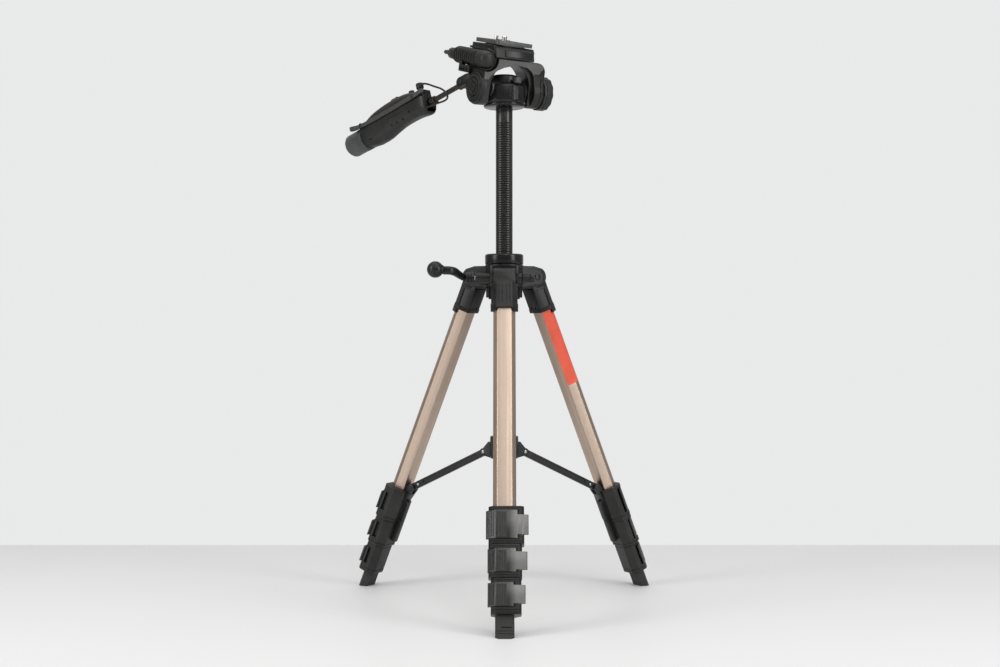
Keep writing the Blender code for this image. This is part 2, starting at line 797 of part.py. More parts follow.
# ================================================================ HEAD
# The pan base and its lock are modelled in HEAD, the rest in TILTED.
def pan_base():
    """A turned base with a rib in front, carrying the tilt shaft."""
    base = turned(
        [
            (0, 16.0), (14.6, 16.0), (16.6, 13.6), (16.6, 5.2), (17.6, 4.4),
            (23.4, 3.6), (25.0, 1.0), (25.0, -14.4), (24.0, -16.9),
            (24.0, -19.2), (22.6, -20.6), (0, -20.6),
        ],
        24,
    )
    base = joined(
        base,
        rod(TILT_SHAFT_R, (-37.0, 43.0), axis="X", sides=20),
        # the shaft's housing, between the cheeks
        rod(13.0, (-24.2, 24.2), axis="X", sides=24),
        box((-4.5, 4.5), (-27.0, -20), (-15.5, 2.0), 0.8),
    )
    # the socket for the column's spigot
    return cut(base, rod(SPIGOT_R + 0.4, (-30, 1.4), sides=20))


def pan_lock_knob():
    """A small square key above the rib of the base."""
    return joined(
        box((0.2, 7.0), (-27.2, -20.6), (4.8, 11.2), 0.7),
        rod(2.0, (-22, -17.2), (3.6, 8.0), "Y", 12),
    )


def handle_fork():
    """The fork behind the left cheek that takes the pan handle's pin, modelled
    in the handle's frame."""
    ears = [
        plate(capsule((-11, 0), (0, 0), 5.6), span, "Y")
        for span in ((-8.4, -5.8), (5.8, 8.4))
    ]
    fork = joined(box((-17, -6.2), (-8.2, 8.2), (-5.3, 5.3)), *ears)
    return moved(fork, HANDLE_IN_YOKE)


def cheek_rings():
    """Moulded rings on the left cheek's outer face."""
    rings = turned(
        [
            (0, 4.8), (13.2, 4.8), (14.0, 3.8), (17.6, 3.4), (18.4, 2.4),
            (18.5, 0.0), (0, 0.0),
        ],
        28,
    )
    return moved(rings, shift(-38.1, 0, 0) @ Matrix.Rotation(-math.pi / 2, 4, "Y"))


def tilt_yoke():
    """Two round cheeks joined by an arch over the pan base."""
    arch = plate(
        [(-38.2, 0), (42.6, 0), (42.6, 22)] + arc(11, (31.6, 24.5), 0, 90, 5)
        + arc(11, (-27.2, 24.5), 90, 180, 5) + [(-38.2, 22)],
        (-15.5, 15.5), "Y",
    )
    yoke = joined(
        arch,
        rod(CHEEK_R, (-38.4, -26.2), axis="X", sides=28),
        rod(CHEEK_R - 0.5, (26.2, 43.0), axis="X", sides=28),
    )
    yoke = joined(yoke, handle_fork())
    yoke = joined(yoke, cheek_rings())
    opening = plate(
        [(-25.9, -30), (25.9, -30), (25.9, 12)] + arc(25.9, (0, 4.5), 15, 165, 12)
        + [(-25.9, 12)],
        (-30, 30), "Y",
    )
    yoke = cut(
        yoke,
        opening,
        rod(TILT_SHAFT_R + 0.3, (-37.4, 60), axis="X", sides=20),
        rod(13.4, (-60, 60), SIDE_AXIS_AT, "Y", 24),
    )
    return joined(yoke, moved(rod(1.6, (-7.0, 7.0), (0, 0), "Y", 12), HANDLE_IN_YOKE))


def tilt_lock_knob():
    """A fluted knob on the right end of the tilt shaft."""
    knob = bevelled(plate(fluted(19.7), (44.2, 55.5), "X"), 0.9, angle=60)
    return cut(knob, rod(TILT_SHAFT_R + 0.4, (40, 46), axis="X", sides=20))


def camera_platform():
    """The deck, with a saddle on its left edge round the side-tilt lock. It
    flips to the side about the side-tilt axis."""
    deck = plate(
        [(-16.0, 36.0), (42.7, 36.0), (42.7, 50.0), (-11.0, 50.0)], (-26.5, 27.0), "X"
    )
    deck = bevelled(deck, 1.4)
    saddle = cut(
        rod(12.8, (-16.0, 30.0), SIDE_AXIS_AT, "Y", 24),
        box((-60, SIDE_AXIS_X - 1.0), (-60, 60), (0, 60)),
    )
    web = box((SIDE_AXIS_X + 8, -14.0), (-16.0, 30.0), (37.0, 43.6))
    return cut(
        joined(deck, saddle, web),
        rod(10.5, (-60, 60), SIDE_AXIS_AT, "Y", 24),
        # the shoe's recess, and a notch behind it
        box((-17.4, 17.4), (-8.4, 31.0), (45.7, 60)),
        box((-4.2, 4.2), (30.0, 37.4), (45.7, 60)),
    )


def side_lock_handle():
    """The side-tilt lock: a stepped handle lying along the side-tilt axis."""
    handle = turned(
        [
            (0, 0.0), (6.0, -0.6), (8.6, -2.6), (9.9, -6.0), (10.1, -11.0),
            (10.1, -24.0), (9.0, -24.6), (9.0, -26.6), (9.9, -27.2), (9.9, -76.0),
            (8.6, -78.0), (6.6, -78.4), (6.6, -90.0), (5.4, -91.4), (2.6, -92.0),
            (2.4, -107.6), (1.6, -109.0), (0, -109.0),
        ],
        20,
    )
    lay_back = Matrix.Rotation(math.pi / 2, 4, "X")
    return moved(handle, shift(SIDE_AXIS_X, -22.0, SIDE_AXIS_Z) @ lay_back)


def quick_shoe():
    """The shoe, bored for its camera screw and video pin."""
    shoe = joined(
        box((-24, 24), (-12.0, 39.5), (51.7, SHOE_TOP), 1.0),
        box((-17.0, 17.0), (-8.0, 30.6), (46.0, 53.0)),
        rod(3.7, (46.2, 53.0), (0, VIDEO_PIN_Y), sides=20),
    )
    return cut(
        shoe,
        rod(3.6, (40, 60), (0, SCREW_Y), sides=20),
        rod(6.6, (44, 51.0), (0, SCREW_Y), sides=24),
        rod(2.5, (47.2, 60), (0, VIDEO_PIN_Y), sides=16),
    )


def camera_screw():
    return joined(
        rod(3.15, (47.5, 61.0), (0, SCREW_Y), sides=16, bevel=0.5),
        rod(6.2, (46.4, 50.6), (0, SCREW_Y), sides=20),
    )


def video_pin():
    return rod(2.2, (51.3, 60.5), (0, VIDEO_PIN_Y), sides=14, bevel=0.5)


def shoe_release_lever():
    """A lever on the platform's right side."""
    outline = [
        (28.6, -4.5), (31.5, -4.5), (33.0, -1.0), (33.6, 16.0), (31.8, 24.0),
        (29.4, 24.0), (29.0, 18.0), (27.4, 15.0), (27.4, 0.0),
    ]
    return bevelled(plate(outline, (38.2, 47.0)), 0.7)


# ================================================================ PAN HANDLE
# Modelled in the handle's frame.
def pan_handle_rod():
    """The rod, with a rounded, drilled end on the pin and a ring at the grip."""
    end = plate([(4.5, -5.0), (4.5, 5.0)] + arc(5.0, (0, 0), 90, 270, 10), (-5.4, 5.4), "Y")
    bar = joined(
        rod(HANDLE_ROD_R, (2.0, 168.0), (0, 0), "X", 16),
        rod(5.4, (1.0, 9.0), (0, 0), "X", 20, bevel=0.6),
        end,
        rod(5.0, (51.0, 59.0), (0, -0.4), "X", 20, bevel=0.6),
    )
    return cut(bar, rod(1.9, (-10, 10), (0, 0), "Y", 16))


def grip_shell(side_line):
    """Half of the grip, from its (x, z) outline."""
    return bevelled(plate(side_line, (-GRIP_HALF_WIDTH, GRIP_HALF_WIDTH), "Y"), 4.0, 2)


def grip_upper_shell():
    """The upper half, with wells for the record button and the zoom rocker."""
    shell = grip_shell([
        (76, GRIP_SPLIT_Z), (79, 19.3), (87, 22.6), (105, 24.8), (129, 24.6),
        (151, 22.8), (163, 20.0), (173, 15.6), (181, 12.2), (182, GRIP_SPLIT_Z),
    ])
    return cut(
        shell,
        box((84.4, 92.6), (-4.4, 4.4), (13.8, 30)),
        box((108.4, 123.6), (-4.4, 4.4), (17.0, 30)),
    )


def grip_lower_shell():
    """The lower half, with a holder at its head end for the cable's plug."""
    shell = grip_shell([
        (61.5, GRIP_SPLIT_Z - 0.4), (59.6, -2), (61, -12.6), (66, -13.8), (81, -11.4),
        (98, -10.6), (115, -11.2), (133, -14.6), (147, -16.8), (160, -16.8),
        (172, -15.0), (182, -13.6), (182, GRIP_SPLIT_Z - 0.4),
    ])
    shell = joined(shell, box((61.6, 75.4), (-6.5, 9.5), (4.0, 16.6), 1.2))
    return cut(
        shell,
        rod(5.4, (50, 70), (0, 0), "X", 20),
        rod(HANDLE_ROD_R + 0.3, (50, 172), (0, 0), "X", 16),
        rod(3.8, (9.0, 40), PLUG_AT, sides=16),
    )


def grip_end_cap():
    """A fluted cap on the grip's far end."""
    return bevelled(plate(fluted(14.3, -0.8), (182.4, 212.0), "X"), 1.6, 2, angle=60)


def record_button():
    return joined(
        rod(3.6, (19.0, 25.6), (BUTTON_X, 0), sides=20, bevel=0.5),
        rod(2.0, (16.0, 20.0), (BUTTON_X, 0), sides=12),
    )


def zoom_rocker():
    """A rocker dished in the middle."""
    return plate(
        [
            (109.0, 21.0), (112.0, 19.6), (120.0, 19.6), (123.0, 21.0), (123.0, 26.6),
            (120.0, 27.6), (116.0, 26.6), (112.0, 27.6), (109.0, 26.6),
        ],
        (-4.0, 4.0), "Y",
    )


def remote_cable():
    """The parked plug, and the cable looped from it towards the head and back
    under the rod to the grip."""
    plug = joined(
        rod(3.4, (12.0, 22.0), PLUG_AT, sides=16, bevel=0.5),
        rod(4.6, (20.6, 27.6), PLUG_AT, sides=16, bevel=0.8),
    )
    path = [
        (*PLUG_AT, 24.4), (63, 3.4, 24.6), (54, 4.6, 19.8), (43, 7.0, 12.4),
        (30, 8.6, 3.4), (24.0, 8.4, -4.6), (24.6, 7.6, -9.6), (30, 7.4, -11.0),
        (42, 7.0, -9.4), (56, 6.5, -7.6), (58.6, 6.4, -7.4),
    ]
    return joined(plug, swept(smooth_path(path, 2), 1.2))


def wrist_strap():
    """A thin band along the grip's +y side."""
    return plate(
        [
            (60.0, 14.0), (75, 14.1), (100, 14.0), (133, 14.2), (165, 14.3), (182, 14.9),
            (190, 15.6), (190, 17.0), (181, 16.4), (165, 15.8),
            (133, 15.6), (100, 15.4), (75, 15.5), (60, 15.4),
        ],
        (8.0, 13.0),
    )


# ================================================================ ASSEMBLY
SIDE_AXIS = TILTED @ shift(SIDE_AXIS_X, 0, SIDE_AXIS_Z)

# Frame, the frame it hangs on, and where it stands
JOINTS = [
    ("tripod_origin", None, BASE),
    ("brace_hub_slide", "tripod_origin", BASE @ shift(0, 0, HUB_PIN_Z)),
    ("column_slide", "tripod_origin", BASE @ shift(0, 0, 480)),
    ("crank_axis", "tripod_origin", BASE @ shift(0, SHAFT_Y, SHAFT_Z)),
    ("crank_knob_axis", "crank_axis", BASE @ shift(*CRANK_KNOB)),
    ("column_lock_axis", "tripod_origin", BASE @ shift(26, SHAFT_Y, SHAFT_Z)),
    ("pan_axis", "column_slide", HEAD),
    ("tilt_axis", "pan_axis", TILTED),
    ("pan_lock_axis", "pan_axis", HEAD @ shift(3.6, -22, 8.0)),
    ("tilt_lock_axis", "tilt_axis", TILTED),
    ("side_tilt_axis", "tilt_axis", SIDE_AXIS),
    ("side_lock_axis", "tilt_axis", SIDE_AXIS),
    ("shoe_lift", "side_tilt_axis", TILTED @ shift(0, 13.75, 50)),
    ("camera_screw_axis", "shoe_lift", TILTED @ shift(0, SCREW_Y, SHOE_TOP)),
    ("video_pin_axis", "shoe_lift", TILTED @ shift(0, VIDEO_PIN_Y, SHOE_TOP)),
    ("shoe_release_axis", "side_tilt_axis", TILTED @ shift(30.0, -2.0, 42.6)),
    ("handle_axis", "tilt_axis", HANDLE),
    ("record_button_axis", "handle_axis", HANDLE @ shift(BUTTON_X, 0, 25)),
    ("zoom_rocker_axis", "handle_axis", HANDLE @ shift(ROCKER_X, 0, 20)),
]

# Piece, material, the frame it hangs on, and the frame it was modelled in. Each
# object takes its function's name.
PIECES = [
    (shoulder_casting, CASTING, "tripod_origin", BASE),
    (column_collar, CASTING, "tripod_origin", BASE),
    (guide_tube, BLACK_METAL, "tripod_origin", BASE),
    (brace_hub, CASTING, "brace_hub_slide", BASE),
    (centre_column, BLACK_METAL, "column_slide", BASE),
    (crank_shaft, STEEL, "crank_axis", BASE),
    (crank_arm, CASTING, "crank_axis", BASE),
    (crank_knob, CASTING, "crank_knob_axis", BASE),
    (column_lock_knob, CASTING, "column_lock_axis", BASE),
    (pan_base, CASTING, "pan_axis", HEAD),
    (pan_lock_knob, CASTING, "pan_lock_axis", HEAD),
    (tilt_yoke, CASTING, "tilt_axis", TILTED),
    (tilt_lock_knob, GREY, "tilt_lock_axis", TILTED),
    (camera_platform, CASTING, "side_tilt_axis", TILTED),
    (side_lock_handle, GREY, "side_lock_axis", TILTED),
    (quick_shoe, CASTING, "shoe_lift", TILTED),
    (camera_screw, STEEL, "camera_screw_axis", TILTED),
    (video_pin, STEEL, "video_pin_axis", TILTED),
    (shoe_release_lever, GREY, "shoe_release_axis", TILTED),
    (pan_handle_rod, BLACK_METAL, "handle_axis", HANDLE),
    (grip_upper_shell, CASTING, "handle_axis", HANDLE),
    (grip_lower_shell, GREY, "handle_axis", HANDLE),
    (grip_end_cap, GREY, "handle_axis", HANDLE),
    (record_button, GREY, "record_button_axis", HANDLE),
    (zoom_rocker, GREY, "zoom_rocker_axis", HANDLE),
    (remote_cable, CABLE, "handle_axis", HANDLE),
    (wrist_strap, RUBBER, "handle_axis", HANDLE),
]

for joint in JOINTS:
    frame(*joint)
build_legs()
for build, mat, parent, own in PIECES:
    place(build(), build.__name__, mat, parent, own)
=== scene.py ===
"""Tripod with fluid head: the finished surfaces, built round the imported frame.

All the dimensions below are in millimetres and are scaled on entry. Each leg
piece is modelled once, in the leg's own frame, and shown three times.
"""

import sys
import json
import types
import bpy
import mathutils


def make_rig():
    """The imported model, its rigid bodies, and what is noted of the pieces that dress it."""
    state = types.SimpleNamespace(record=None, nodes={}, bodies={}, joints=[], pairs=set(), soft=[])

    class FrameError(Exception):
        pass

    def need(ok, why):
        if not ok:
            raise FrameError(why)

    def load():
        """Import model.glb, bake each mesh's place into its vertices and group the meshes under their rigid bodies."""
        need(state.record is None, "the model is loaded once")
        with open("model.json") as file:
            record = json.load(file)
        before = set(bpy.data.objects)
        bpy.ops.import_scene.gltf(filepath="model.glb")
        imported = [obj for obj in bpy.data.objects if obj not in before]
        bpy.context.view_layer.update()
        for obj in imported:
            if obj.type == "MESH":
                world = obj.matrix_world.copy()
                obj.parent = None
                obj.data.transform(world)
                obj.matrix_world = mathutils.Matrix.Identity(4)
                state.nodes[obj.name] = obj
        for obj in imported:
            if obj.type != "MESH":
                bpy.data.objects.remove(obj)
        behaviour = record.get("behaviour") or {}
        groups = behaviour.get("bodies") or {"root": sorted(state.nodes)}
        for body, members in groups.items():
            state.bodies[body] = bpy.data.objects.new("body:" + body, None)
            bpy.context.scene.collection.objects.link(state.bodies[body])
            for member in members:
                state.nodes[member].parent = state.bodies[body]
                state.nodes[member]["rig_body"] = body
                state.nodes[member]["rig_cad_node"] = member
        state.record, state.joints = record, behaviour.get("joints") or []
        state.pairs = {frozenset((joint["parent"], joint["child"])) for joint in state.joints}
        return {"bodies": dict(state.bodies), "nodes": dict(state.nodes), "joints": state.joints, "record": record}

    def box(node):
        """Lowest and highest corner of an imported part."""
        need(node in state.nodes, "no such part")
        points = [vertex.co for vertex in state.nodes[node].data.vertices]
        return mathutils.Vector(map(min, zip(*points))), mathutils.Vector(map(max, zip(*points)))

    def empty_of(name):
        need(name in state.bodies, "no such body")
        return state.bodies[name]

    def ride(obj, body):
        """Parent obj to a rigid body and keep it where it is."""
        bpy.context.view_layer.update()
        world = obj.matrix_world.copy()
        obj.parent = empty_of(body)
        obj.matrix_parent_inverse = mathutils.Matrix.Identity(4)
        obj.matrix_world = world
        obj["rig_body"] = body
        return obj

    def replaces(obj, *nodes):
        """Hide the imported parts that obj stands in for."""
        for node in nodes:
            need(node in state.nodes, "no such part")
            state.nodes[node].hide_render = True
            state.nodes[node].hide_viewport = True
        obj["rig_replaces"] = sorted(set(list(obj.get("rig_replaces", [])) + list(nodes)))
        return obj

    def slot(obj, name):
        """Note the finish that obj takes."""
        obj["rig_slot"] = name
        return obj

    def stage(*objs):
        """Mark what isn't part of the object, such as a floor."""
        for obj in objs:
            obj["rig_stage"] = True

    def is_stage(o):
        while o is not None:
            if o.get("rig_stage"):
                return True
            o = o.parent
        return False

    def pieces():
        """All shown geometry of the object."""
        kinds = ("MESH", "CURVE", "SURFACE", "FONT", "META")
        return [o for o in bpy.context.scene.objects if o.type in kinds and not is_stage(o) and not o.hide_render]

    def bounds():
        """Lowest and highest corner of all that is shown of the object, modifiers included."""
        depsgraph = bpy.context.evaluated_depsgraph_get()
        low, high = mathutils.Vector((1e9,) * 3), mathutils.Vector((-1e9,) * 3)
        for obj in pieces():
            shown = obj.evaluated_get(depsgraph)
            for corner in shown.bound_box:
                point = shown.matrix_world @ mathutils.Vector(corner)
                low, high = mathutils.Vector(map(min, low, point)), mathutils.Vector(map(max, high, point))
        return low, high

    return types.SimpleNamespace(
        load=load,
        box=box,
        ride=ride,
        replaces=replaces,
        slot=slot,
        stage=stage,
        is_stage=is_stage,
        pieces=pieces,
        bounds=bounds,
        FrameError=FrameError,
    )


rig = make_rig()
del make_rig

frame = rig.load()
CAD_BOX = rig.bounds()

import json
import math

import bmesh
import bpy
from mathutils import Matrix, Vector

MM = 0.001
PARTS = bpy.data.collections.new("surfaces")
bpy.context.scene.collection.children.link(PARTS)


# ================================================================ MATERIALS
class Shader:
    """A node material round one Principled BSDF, with short ways to add nodes."""

    def __init__(self, name):
        self.material = bpy.data.materials.new(name)
        self.material.use_nodes = True
        self.tree = self.material.node_tree
        self.bsdf = self.tree.nodes["Principled BSDF"]
        self.coords = self.node("ShaderNodeTexCoord").outputs["Object"]

    def node(self, kind, **values):
        n = self.tree.nodes.new(kind)
        for key, value in values.items():
            if key in n.inputs:
                self.put(n.inputs[key], value)
            else:
                setattr(n, key, value)
        return n

    def put(self, socket, value):
        if isinstance(value, bpy.types.NodeSocket):
            self.tree.links.new(value, socket)
        else:
            socket.default_value = value

    def set(self, **values):
        for key, value in values.items():
            self.put(self.bsdf.inputs[key.replace("_", " ")], value)

    def noise(self, scale, stretch=(1, 1, 1), detail=3.0, rough=0.55, shift=0.0):
        m = self.node("ShaderNodeMapping")
        self.put(m.inputs["Vector"], self.coords)
        m.inputs["Scale"].default_value = stretch
        m.inputs["Location"].default_value = (shift, shift * 0.7, shift * 1.3)
        n = self.node("ShaderNodeTexNoise")
        self.put(n.inputs["Vector"], m.outputs[0])
        n.inputs["Scale"].default_value = scale
        n.inputs["Detail"].default_value = detail
        n.inputs["Roughness"].default_value = rough
        return n.outputs["Fac"]

    def span(self, value, low, high, to_low, to_high):
        n = self.node("ShaderNodeMapRange")
        self.put(n.inputs["Value"], value)
        for key, v in (
            ("From Min", low), ("From Max", high), ("To Min", to_low), ("To Max", to_high)
        ):
            n.inputs[key].default_value = v
        return n.outputs["Result"]

    def maths(self, operation, a, b=0.0):
        n = self.node("ShaderNodeMath")
        n.operation = operation
        self.put(n.inputs[0], a)
        self.put(n.inputs[1], b)
        return n.outputs[0]

    def mix(self, fac, a, b, blend="MIX"):
        n = self.node("ShaderNodeMix")
        n.data_type, n.blend_type = "RGBA", blend
        self.put(n.inputs["Factor"], fac)
        for socket, v in ((n.inputs[6], a), (n.inputs[7], b)):
            self.put(socket, (*v, 1) if isinstance(v, tuple) else v)
        return n.outputs[2]

    def edges(self, radius):
        """(rounded normal, 0..1 mask of the sharp edges)."""
        rounded = self.node("ShaderNodeBevel")
        rounded.samples = 4
        rounded.inputs["Radius"].default_value = radius * MM
        flat = self.node("ShaderNodeNewGeometry").outputs["Normal"]
        dot = self.node("ShaderNodeVectorMath")
        dot.operation = "DOT_PRODUCT"
        self.put(dot.inputs[0], rounded.outputs[0])
        self.put(dot.inputs[1], flat)
        return rounded.outputs[0], self.span(dot.outputs["Value"], 0.995, 0.75, 0.0, 1.0)

    def bump(self, height, strength, depth, normal=None):
        n = self.node("ShaderNodeBump")
        n.inputs["Strength"].default_value = strength
        n.inputs["Distance"].default_value = depth * MM
        self.put(n.inputs["Height"], height)
        if normal is not None:
            self.put(n.inputs["Normal"], normal)
        return n.outputs[0]


def moulded(name, colour, rough=0.42, grain=900.0, wear=0.35, coat=0.0, tint=None,
            shine=0.36, pale=None):
    """Moulded plastic: fine spark-eroded grain, uneven polish and rubbed edges; pale, when given, paints a highlight:
    a lighter colour across a band of x on the faces turned away from the column.
    """
    s = Shader(name)
    patches = s.noise(38, detail=4, shift=3)
    fine = s.noise(grain, detail=2, shift=1)
    handled = s.noise(9, detail=5, rough=0.6, shift=7)
    normal, edge = s.edges(0.45)
    lighter = tuple(min(1, c * 1.45 + 0.004) for c in (tint or colour))
    darker = tuple(c * 0.72 for c in colour)
    base = s.mix(s.span(patches, 0.3, 0.7, 0.0, 1.0), darker, lighter)
    rubbed = s.maths("MULTIPLY", edge, s.span(handled, 0.42, 0.68, 0.15, 1.0))
    worn = tuple(min(1, c * 2.2 + 0.03) for c in colour)
    base = s.mix(s.maths("MULTIPLY", rubbed, wear), base, worn)
    # painted highlight: a lighter colour ramped in along x, only on faces turned towards -y, where the light falls on
    # the lever tab
    if pale:
        across = s.node("ShaderNodeSeparateXYZ")
        s.put(across.inputs[0], s.coords)
        share = s.span(across.outputs["X"], pale[0], pale[1], 0.0, 1.0)
        faces = s.node("ShaderNodeSeparateXYZ")
        s.put(faces.inputs[0], s.coords.node.outputs["Normal"])
        share = s.maths("MULTIPLY", share, s.span(faces.outputs["Y"], -0.85, -0.5, 1.0, 0.0))
        base = s.mix(share, base, pale[2])
    r = s.span(handled, 0.3, 0.7, rough - 0.07, rough + 0.09)
    r = s.maths("ADD", r, s.span(fine, 0.3, 0.7, -0.04, 0.05))
    s.set(Base_Color=base, Roughness=r, Normal=s.bump(fine, 0.35, 0.05, normal))
    s.bsdf.inputs["Specular IOR Level"].default_value = shine
    if coat:
        s.bsdf.inputs["Coat Weight"].default_value = coat
        s.bsdf.inputs["Coat Roughness"].default_value = 0.25
    return s.material


def drawn_metal(name, colour, rough, along, metallic=1.0, scratch=0.5):
    """Drawn and anodised metal: streaks along one axis and faint handling marks."""
    s = Shader(name)
    stretch = {"X": (6, 1400, 1400), "Y": (1400, 6, 1400), "Z": (1400, 1400, 6)}[along]
    streak = s.noise(1.0, stretch, detail=3, shift=2)
    soft = s.noise(1.0, tuple(v * 0.12 for v in stretch), detail=2, shift=5)
    marks = s.noise(11, detail=6, rough=0.65, shift=4)
    normal, edge = s.edges(0.3)
    base = s.mix(s.span(soft, 0.3, 0.7, 0.0, 1.0), tuple(c * 0.9 for c in colour),
                 tuple(min(1, c * 1.08) for c in colour))
    base = s.mix(s.span(streak, 0.35, 0.75, 0.0, 0.35), base,
                 tuple(c * 0.72 for c in colour))
    base = s.mix(s.maths("MULTIPLY", edge, 0.3), base,
                 tuple(min(1, c * 1.5 + 0.05) for c in colour))
    r = s.span(streak, 0.3, 0.7, rough - 0.06, rough + 0.08)
    r = s.maths("ADD", r, s.span(marks, 0.35, 0.75, -0.03, 0.10 * scratch))
    s.set(Base_Color=base, Roughness=r, Normal=s.bump(streak, 0.12, 0.02, normal))
    s.bsdf.inputs["Metallic"].default_value = metallic
    return s.material


def rubber(name, colour, rough=0.75, dust=0.5):
    """Matte rubber with a mottled bloom and a little floor dust."""
    s = Shader(name)
    fine = s.noise(700, detail=3)
    bloom = s.noise(30, detail=5, rough=0.65, shift=9)
    normal, edge = s.edges(0.5)
    pale = tuple(c * 2.0 + 0.022 for c in colour)
    base = s.mix(s.maths("MULTIPLY", s.span(bloom, 0.35, 0.75, 0.0, 1.0), dust),
                 colour, pale)
    base = s.mix(s.maths("MULTIPLY", edge, 0.25), base, pale)
    s.set(Base_Color=base, Roughness=s.span(bloom, 0.3, 0.7, rough - 0.08, rough + 0.1),
          Normal=s.bump(fine, 0.5, 0.06, normal))
    return s.material


def label(name, colour):
    """A self-adhesive film: semi-matt ink, faint orange-peel and lifted specks."""
    s = Shader(name)
    peel = s.noise(420, detail=2)
    patches = s.noise(55, detail=5, rough=0.6, shift=3)
    specks = s.noise(900, detail=1, shift=6)
    base = s.mix(s.span(patches, 0.3, 0.7, 0.0, 1.0), tuple(c * 0.86 for c in colour),
                 tuple(min(1, c * 1.08 + 0.01) for c in colour))
    base = s.mix(s.span(specks, 0.74, 0.80, 0.0, 0.6), base, (0.55, 0.30, 0.24))
    s.set(Base_Color=base, Roughness=s.span(patches, 0.3, 0.7, 0.42, 0.58),
          Normal=s.bump(peel, 0.25, 0.03))
    return s.material


def webbing(name, colour):
    """A moulded strap with fine cross ribs and a soft sheen."""
    s = Shader(name)
    wave = s.node("ShaderNodeTexWave")
    s.put(wave.inputs["Vector"], s.coords)
    wave.wave_type, wave.bands_direction = "BANDS", "X"
    wave.inputs["Scale"].default_value = 260
    wave.inputs["Distortion"].default_value = 0.4
    patches = s.noise(45, detail=4)
    normal, edge = s.edges(0.3)
    base = s.mix(s.span(patches, 0.3, 0.7, 0.0, 1.0), tuple(c * 0.75 for c in colour),
                 tuple(c * 1.4 for c in colour))
    base = s.mix(s.maths("MULTIPLY", edge, 0.4), base, tuple(c * 3 for c in colour))
    s.set(Base_Color=base, Roughness=s.span(patches, 0.3, 0.7, 0.42, 0.6),
          Normal=s.bump(wave.outputs["Fac"], 0.5, 0.12, normal))
    s.bsdf.inputs["Sheen Weight"].default_value = 0.15
    return s.material


CHAMPAGNE = drawn_metal("champagne_anodised", (0.62, 0.49, 0.395), 0.40, "Z")
BLACK_ROD = drawn_metal("black_anodised_column", (0.052, 0.052, 0.050), 0.22, "Z", 0.5)
HANDLE_ROD = drawn_metal("black_anodised_rod", (0.050, 0.040, 0.033), 0.32, "X", 0.6)
STEEL = drawn_metal("turned_steel", (0.70, 0.69, 0.67), 0.22, "Z")
RIVET = drawn_metal("dull_nickel", (0.42, 0.41, 0.40), 0.34, "X")
BLACK = moulded("satin_black", (0.0092, 0.0089, 0.0084), 0.36)
GLOSS = moulded("polished_black", (0.009, 0.009, 0.009), 0.25, grain=1300, wear=0.25)
GREY = moulded("dark_grey", (0.0140, 0.0137, 0.0130), 0.36, wear=0.45)
# the lever tab carries a painted highlight: light grey on its faces turned towards -y, ramped in from x 4.5 to 12.5 mm
TAB = moulded("grey_with_painted_highlight", (0.020, 0.0195, 0.0185), 0.30, wear=0.7, shine=0.7,
              pale=(0.0045, 0.0125, (0.17, 0.168, 0.158)))
# painted highlight: black plastic drawn in a lighter grey where its faces catch the light (the arch's front band, the
# shoe plate)
SATIN_GREY = moulded("satin_black_painted_lit_grey", (0.062, 0.062, 0.059), 0.33, wear=0.4, shine=0.6)
BROWNISH = moulded("warm_black", (0.0150, 0.0115, 0.0090), 0.44, grain=600, wear=0.4)
CAP_GREY = moulded("worn_grey", (0.068, 0.071, 0.071), 0.42, grain=500, wear=0.4)
RUBBER = rubber("foot_rubber", (0.024, 0.0238, 0.0225))
# painted highlight: the shoe pad's light greenish grey stands in for the sheen on its top, seen at a grazing angle
PAD = rubber("shoe_pad_rubber_painted_highlight", (0.075, 0.080, 0.074), 0.62, dust=0.8)
CABLE = rubber("cable_sheath", (0.009, 0.009, 0.009), 0.46, dust=0.15)
STRAP = webbing("strap", (0.030, 0.030, 0.029))
STICKER = label("orange_film", (0.86, 0.105, 0.050))


# ================================================================ MODELLING
def add(name, mesh):
    o = bpy.data.objects.new(name, mesh)
    PARTS.objects.link(o)
    return o


def from_bm(name, bm):
    bmesh.ops.recalc_face_normals(bm, faces=bm.faces)
    mesh = bpy.data.meshes.new(name)
    bm.to_mesh(mesh)
    bm.free()
    return add(name, mesh)


def baked(o):
    """The object with its modifiers applied; a curve becomes a welded mesh."""
    graph = bpy.context.evaluated_depsgraph_get()
    graph.update()
    mesh = bpy.data.meshes.new_from_object(o.evaluated_get(graph))
    if o.type == "CURVE":
        bm = bmesh.new()
        bm.from_mesh(mesh)
        bmesh.ops.remove_doubles(bm, verts=bm.verts, dist=1e-6)
        bmesh.ops.recalc_face_normals(bm, faces=bm.faces)
        bm.to_mesh(mesh)
        bm.free()
        name, world = o.name, o.matrix_world.copy()
        bpy.data.objects.remove(o, do_unlink=True)
        o = add(name, mesh)
        o.matrix_world = world
    else:
        o.modifiers.clear()
        o.data = mesh
    return o


def box(x, y, z, bevel=0.0, segments=2, name="box"):
    bm = bmesh.new()
    bmesh.ops.create_cube(bm, size=1.0)
    for v in bm.verts:
        v.co = Vector(
            [(lo + hi) / 2 + c * (hi - lo) for c, (lo, hi) in zip(v.co, (x, y, z))]
        ) * MM
    if bevel:
        bmesh.ops.bevel(
            bm, geom=bm.edges[:], offset=bevel * MM, segments=segments,
            affect="EDGES", profile=0.5, clamp_overlap=True,
        )
    return from_bm(name, bm)


def turn_to(axis):
    return {
        "X": Matrix.Rotation(math.pi / 2, 4, "Y"),
        "Y": Matrix.Rotation(-math.pi / 2, 4, "X"),
        "Z": Matrix.Identity(4),
    }[axis]


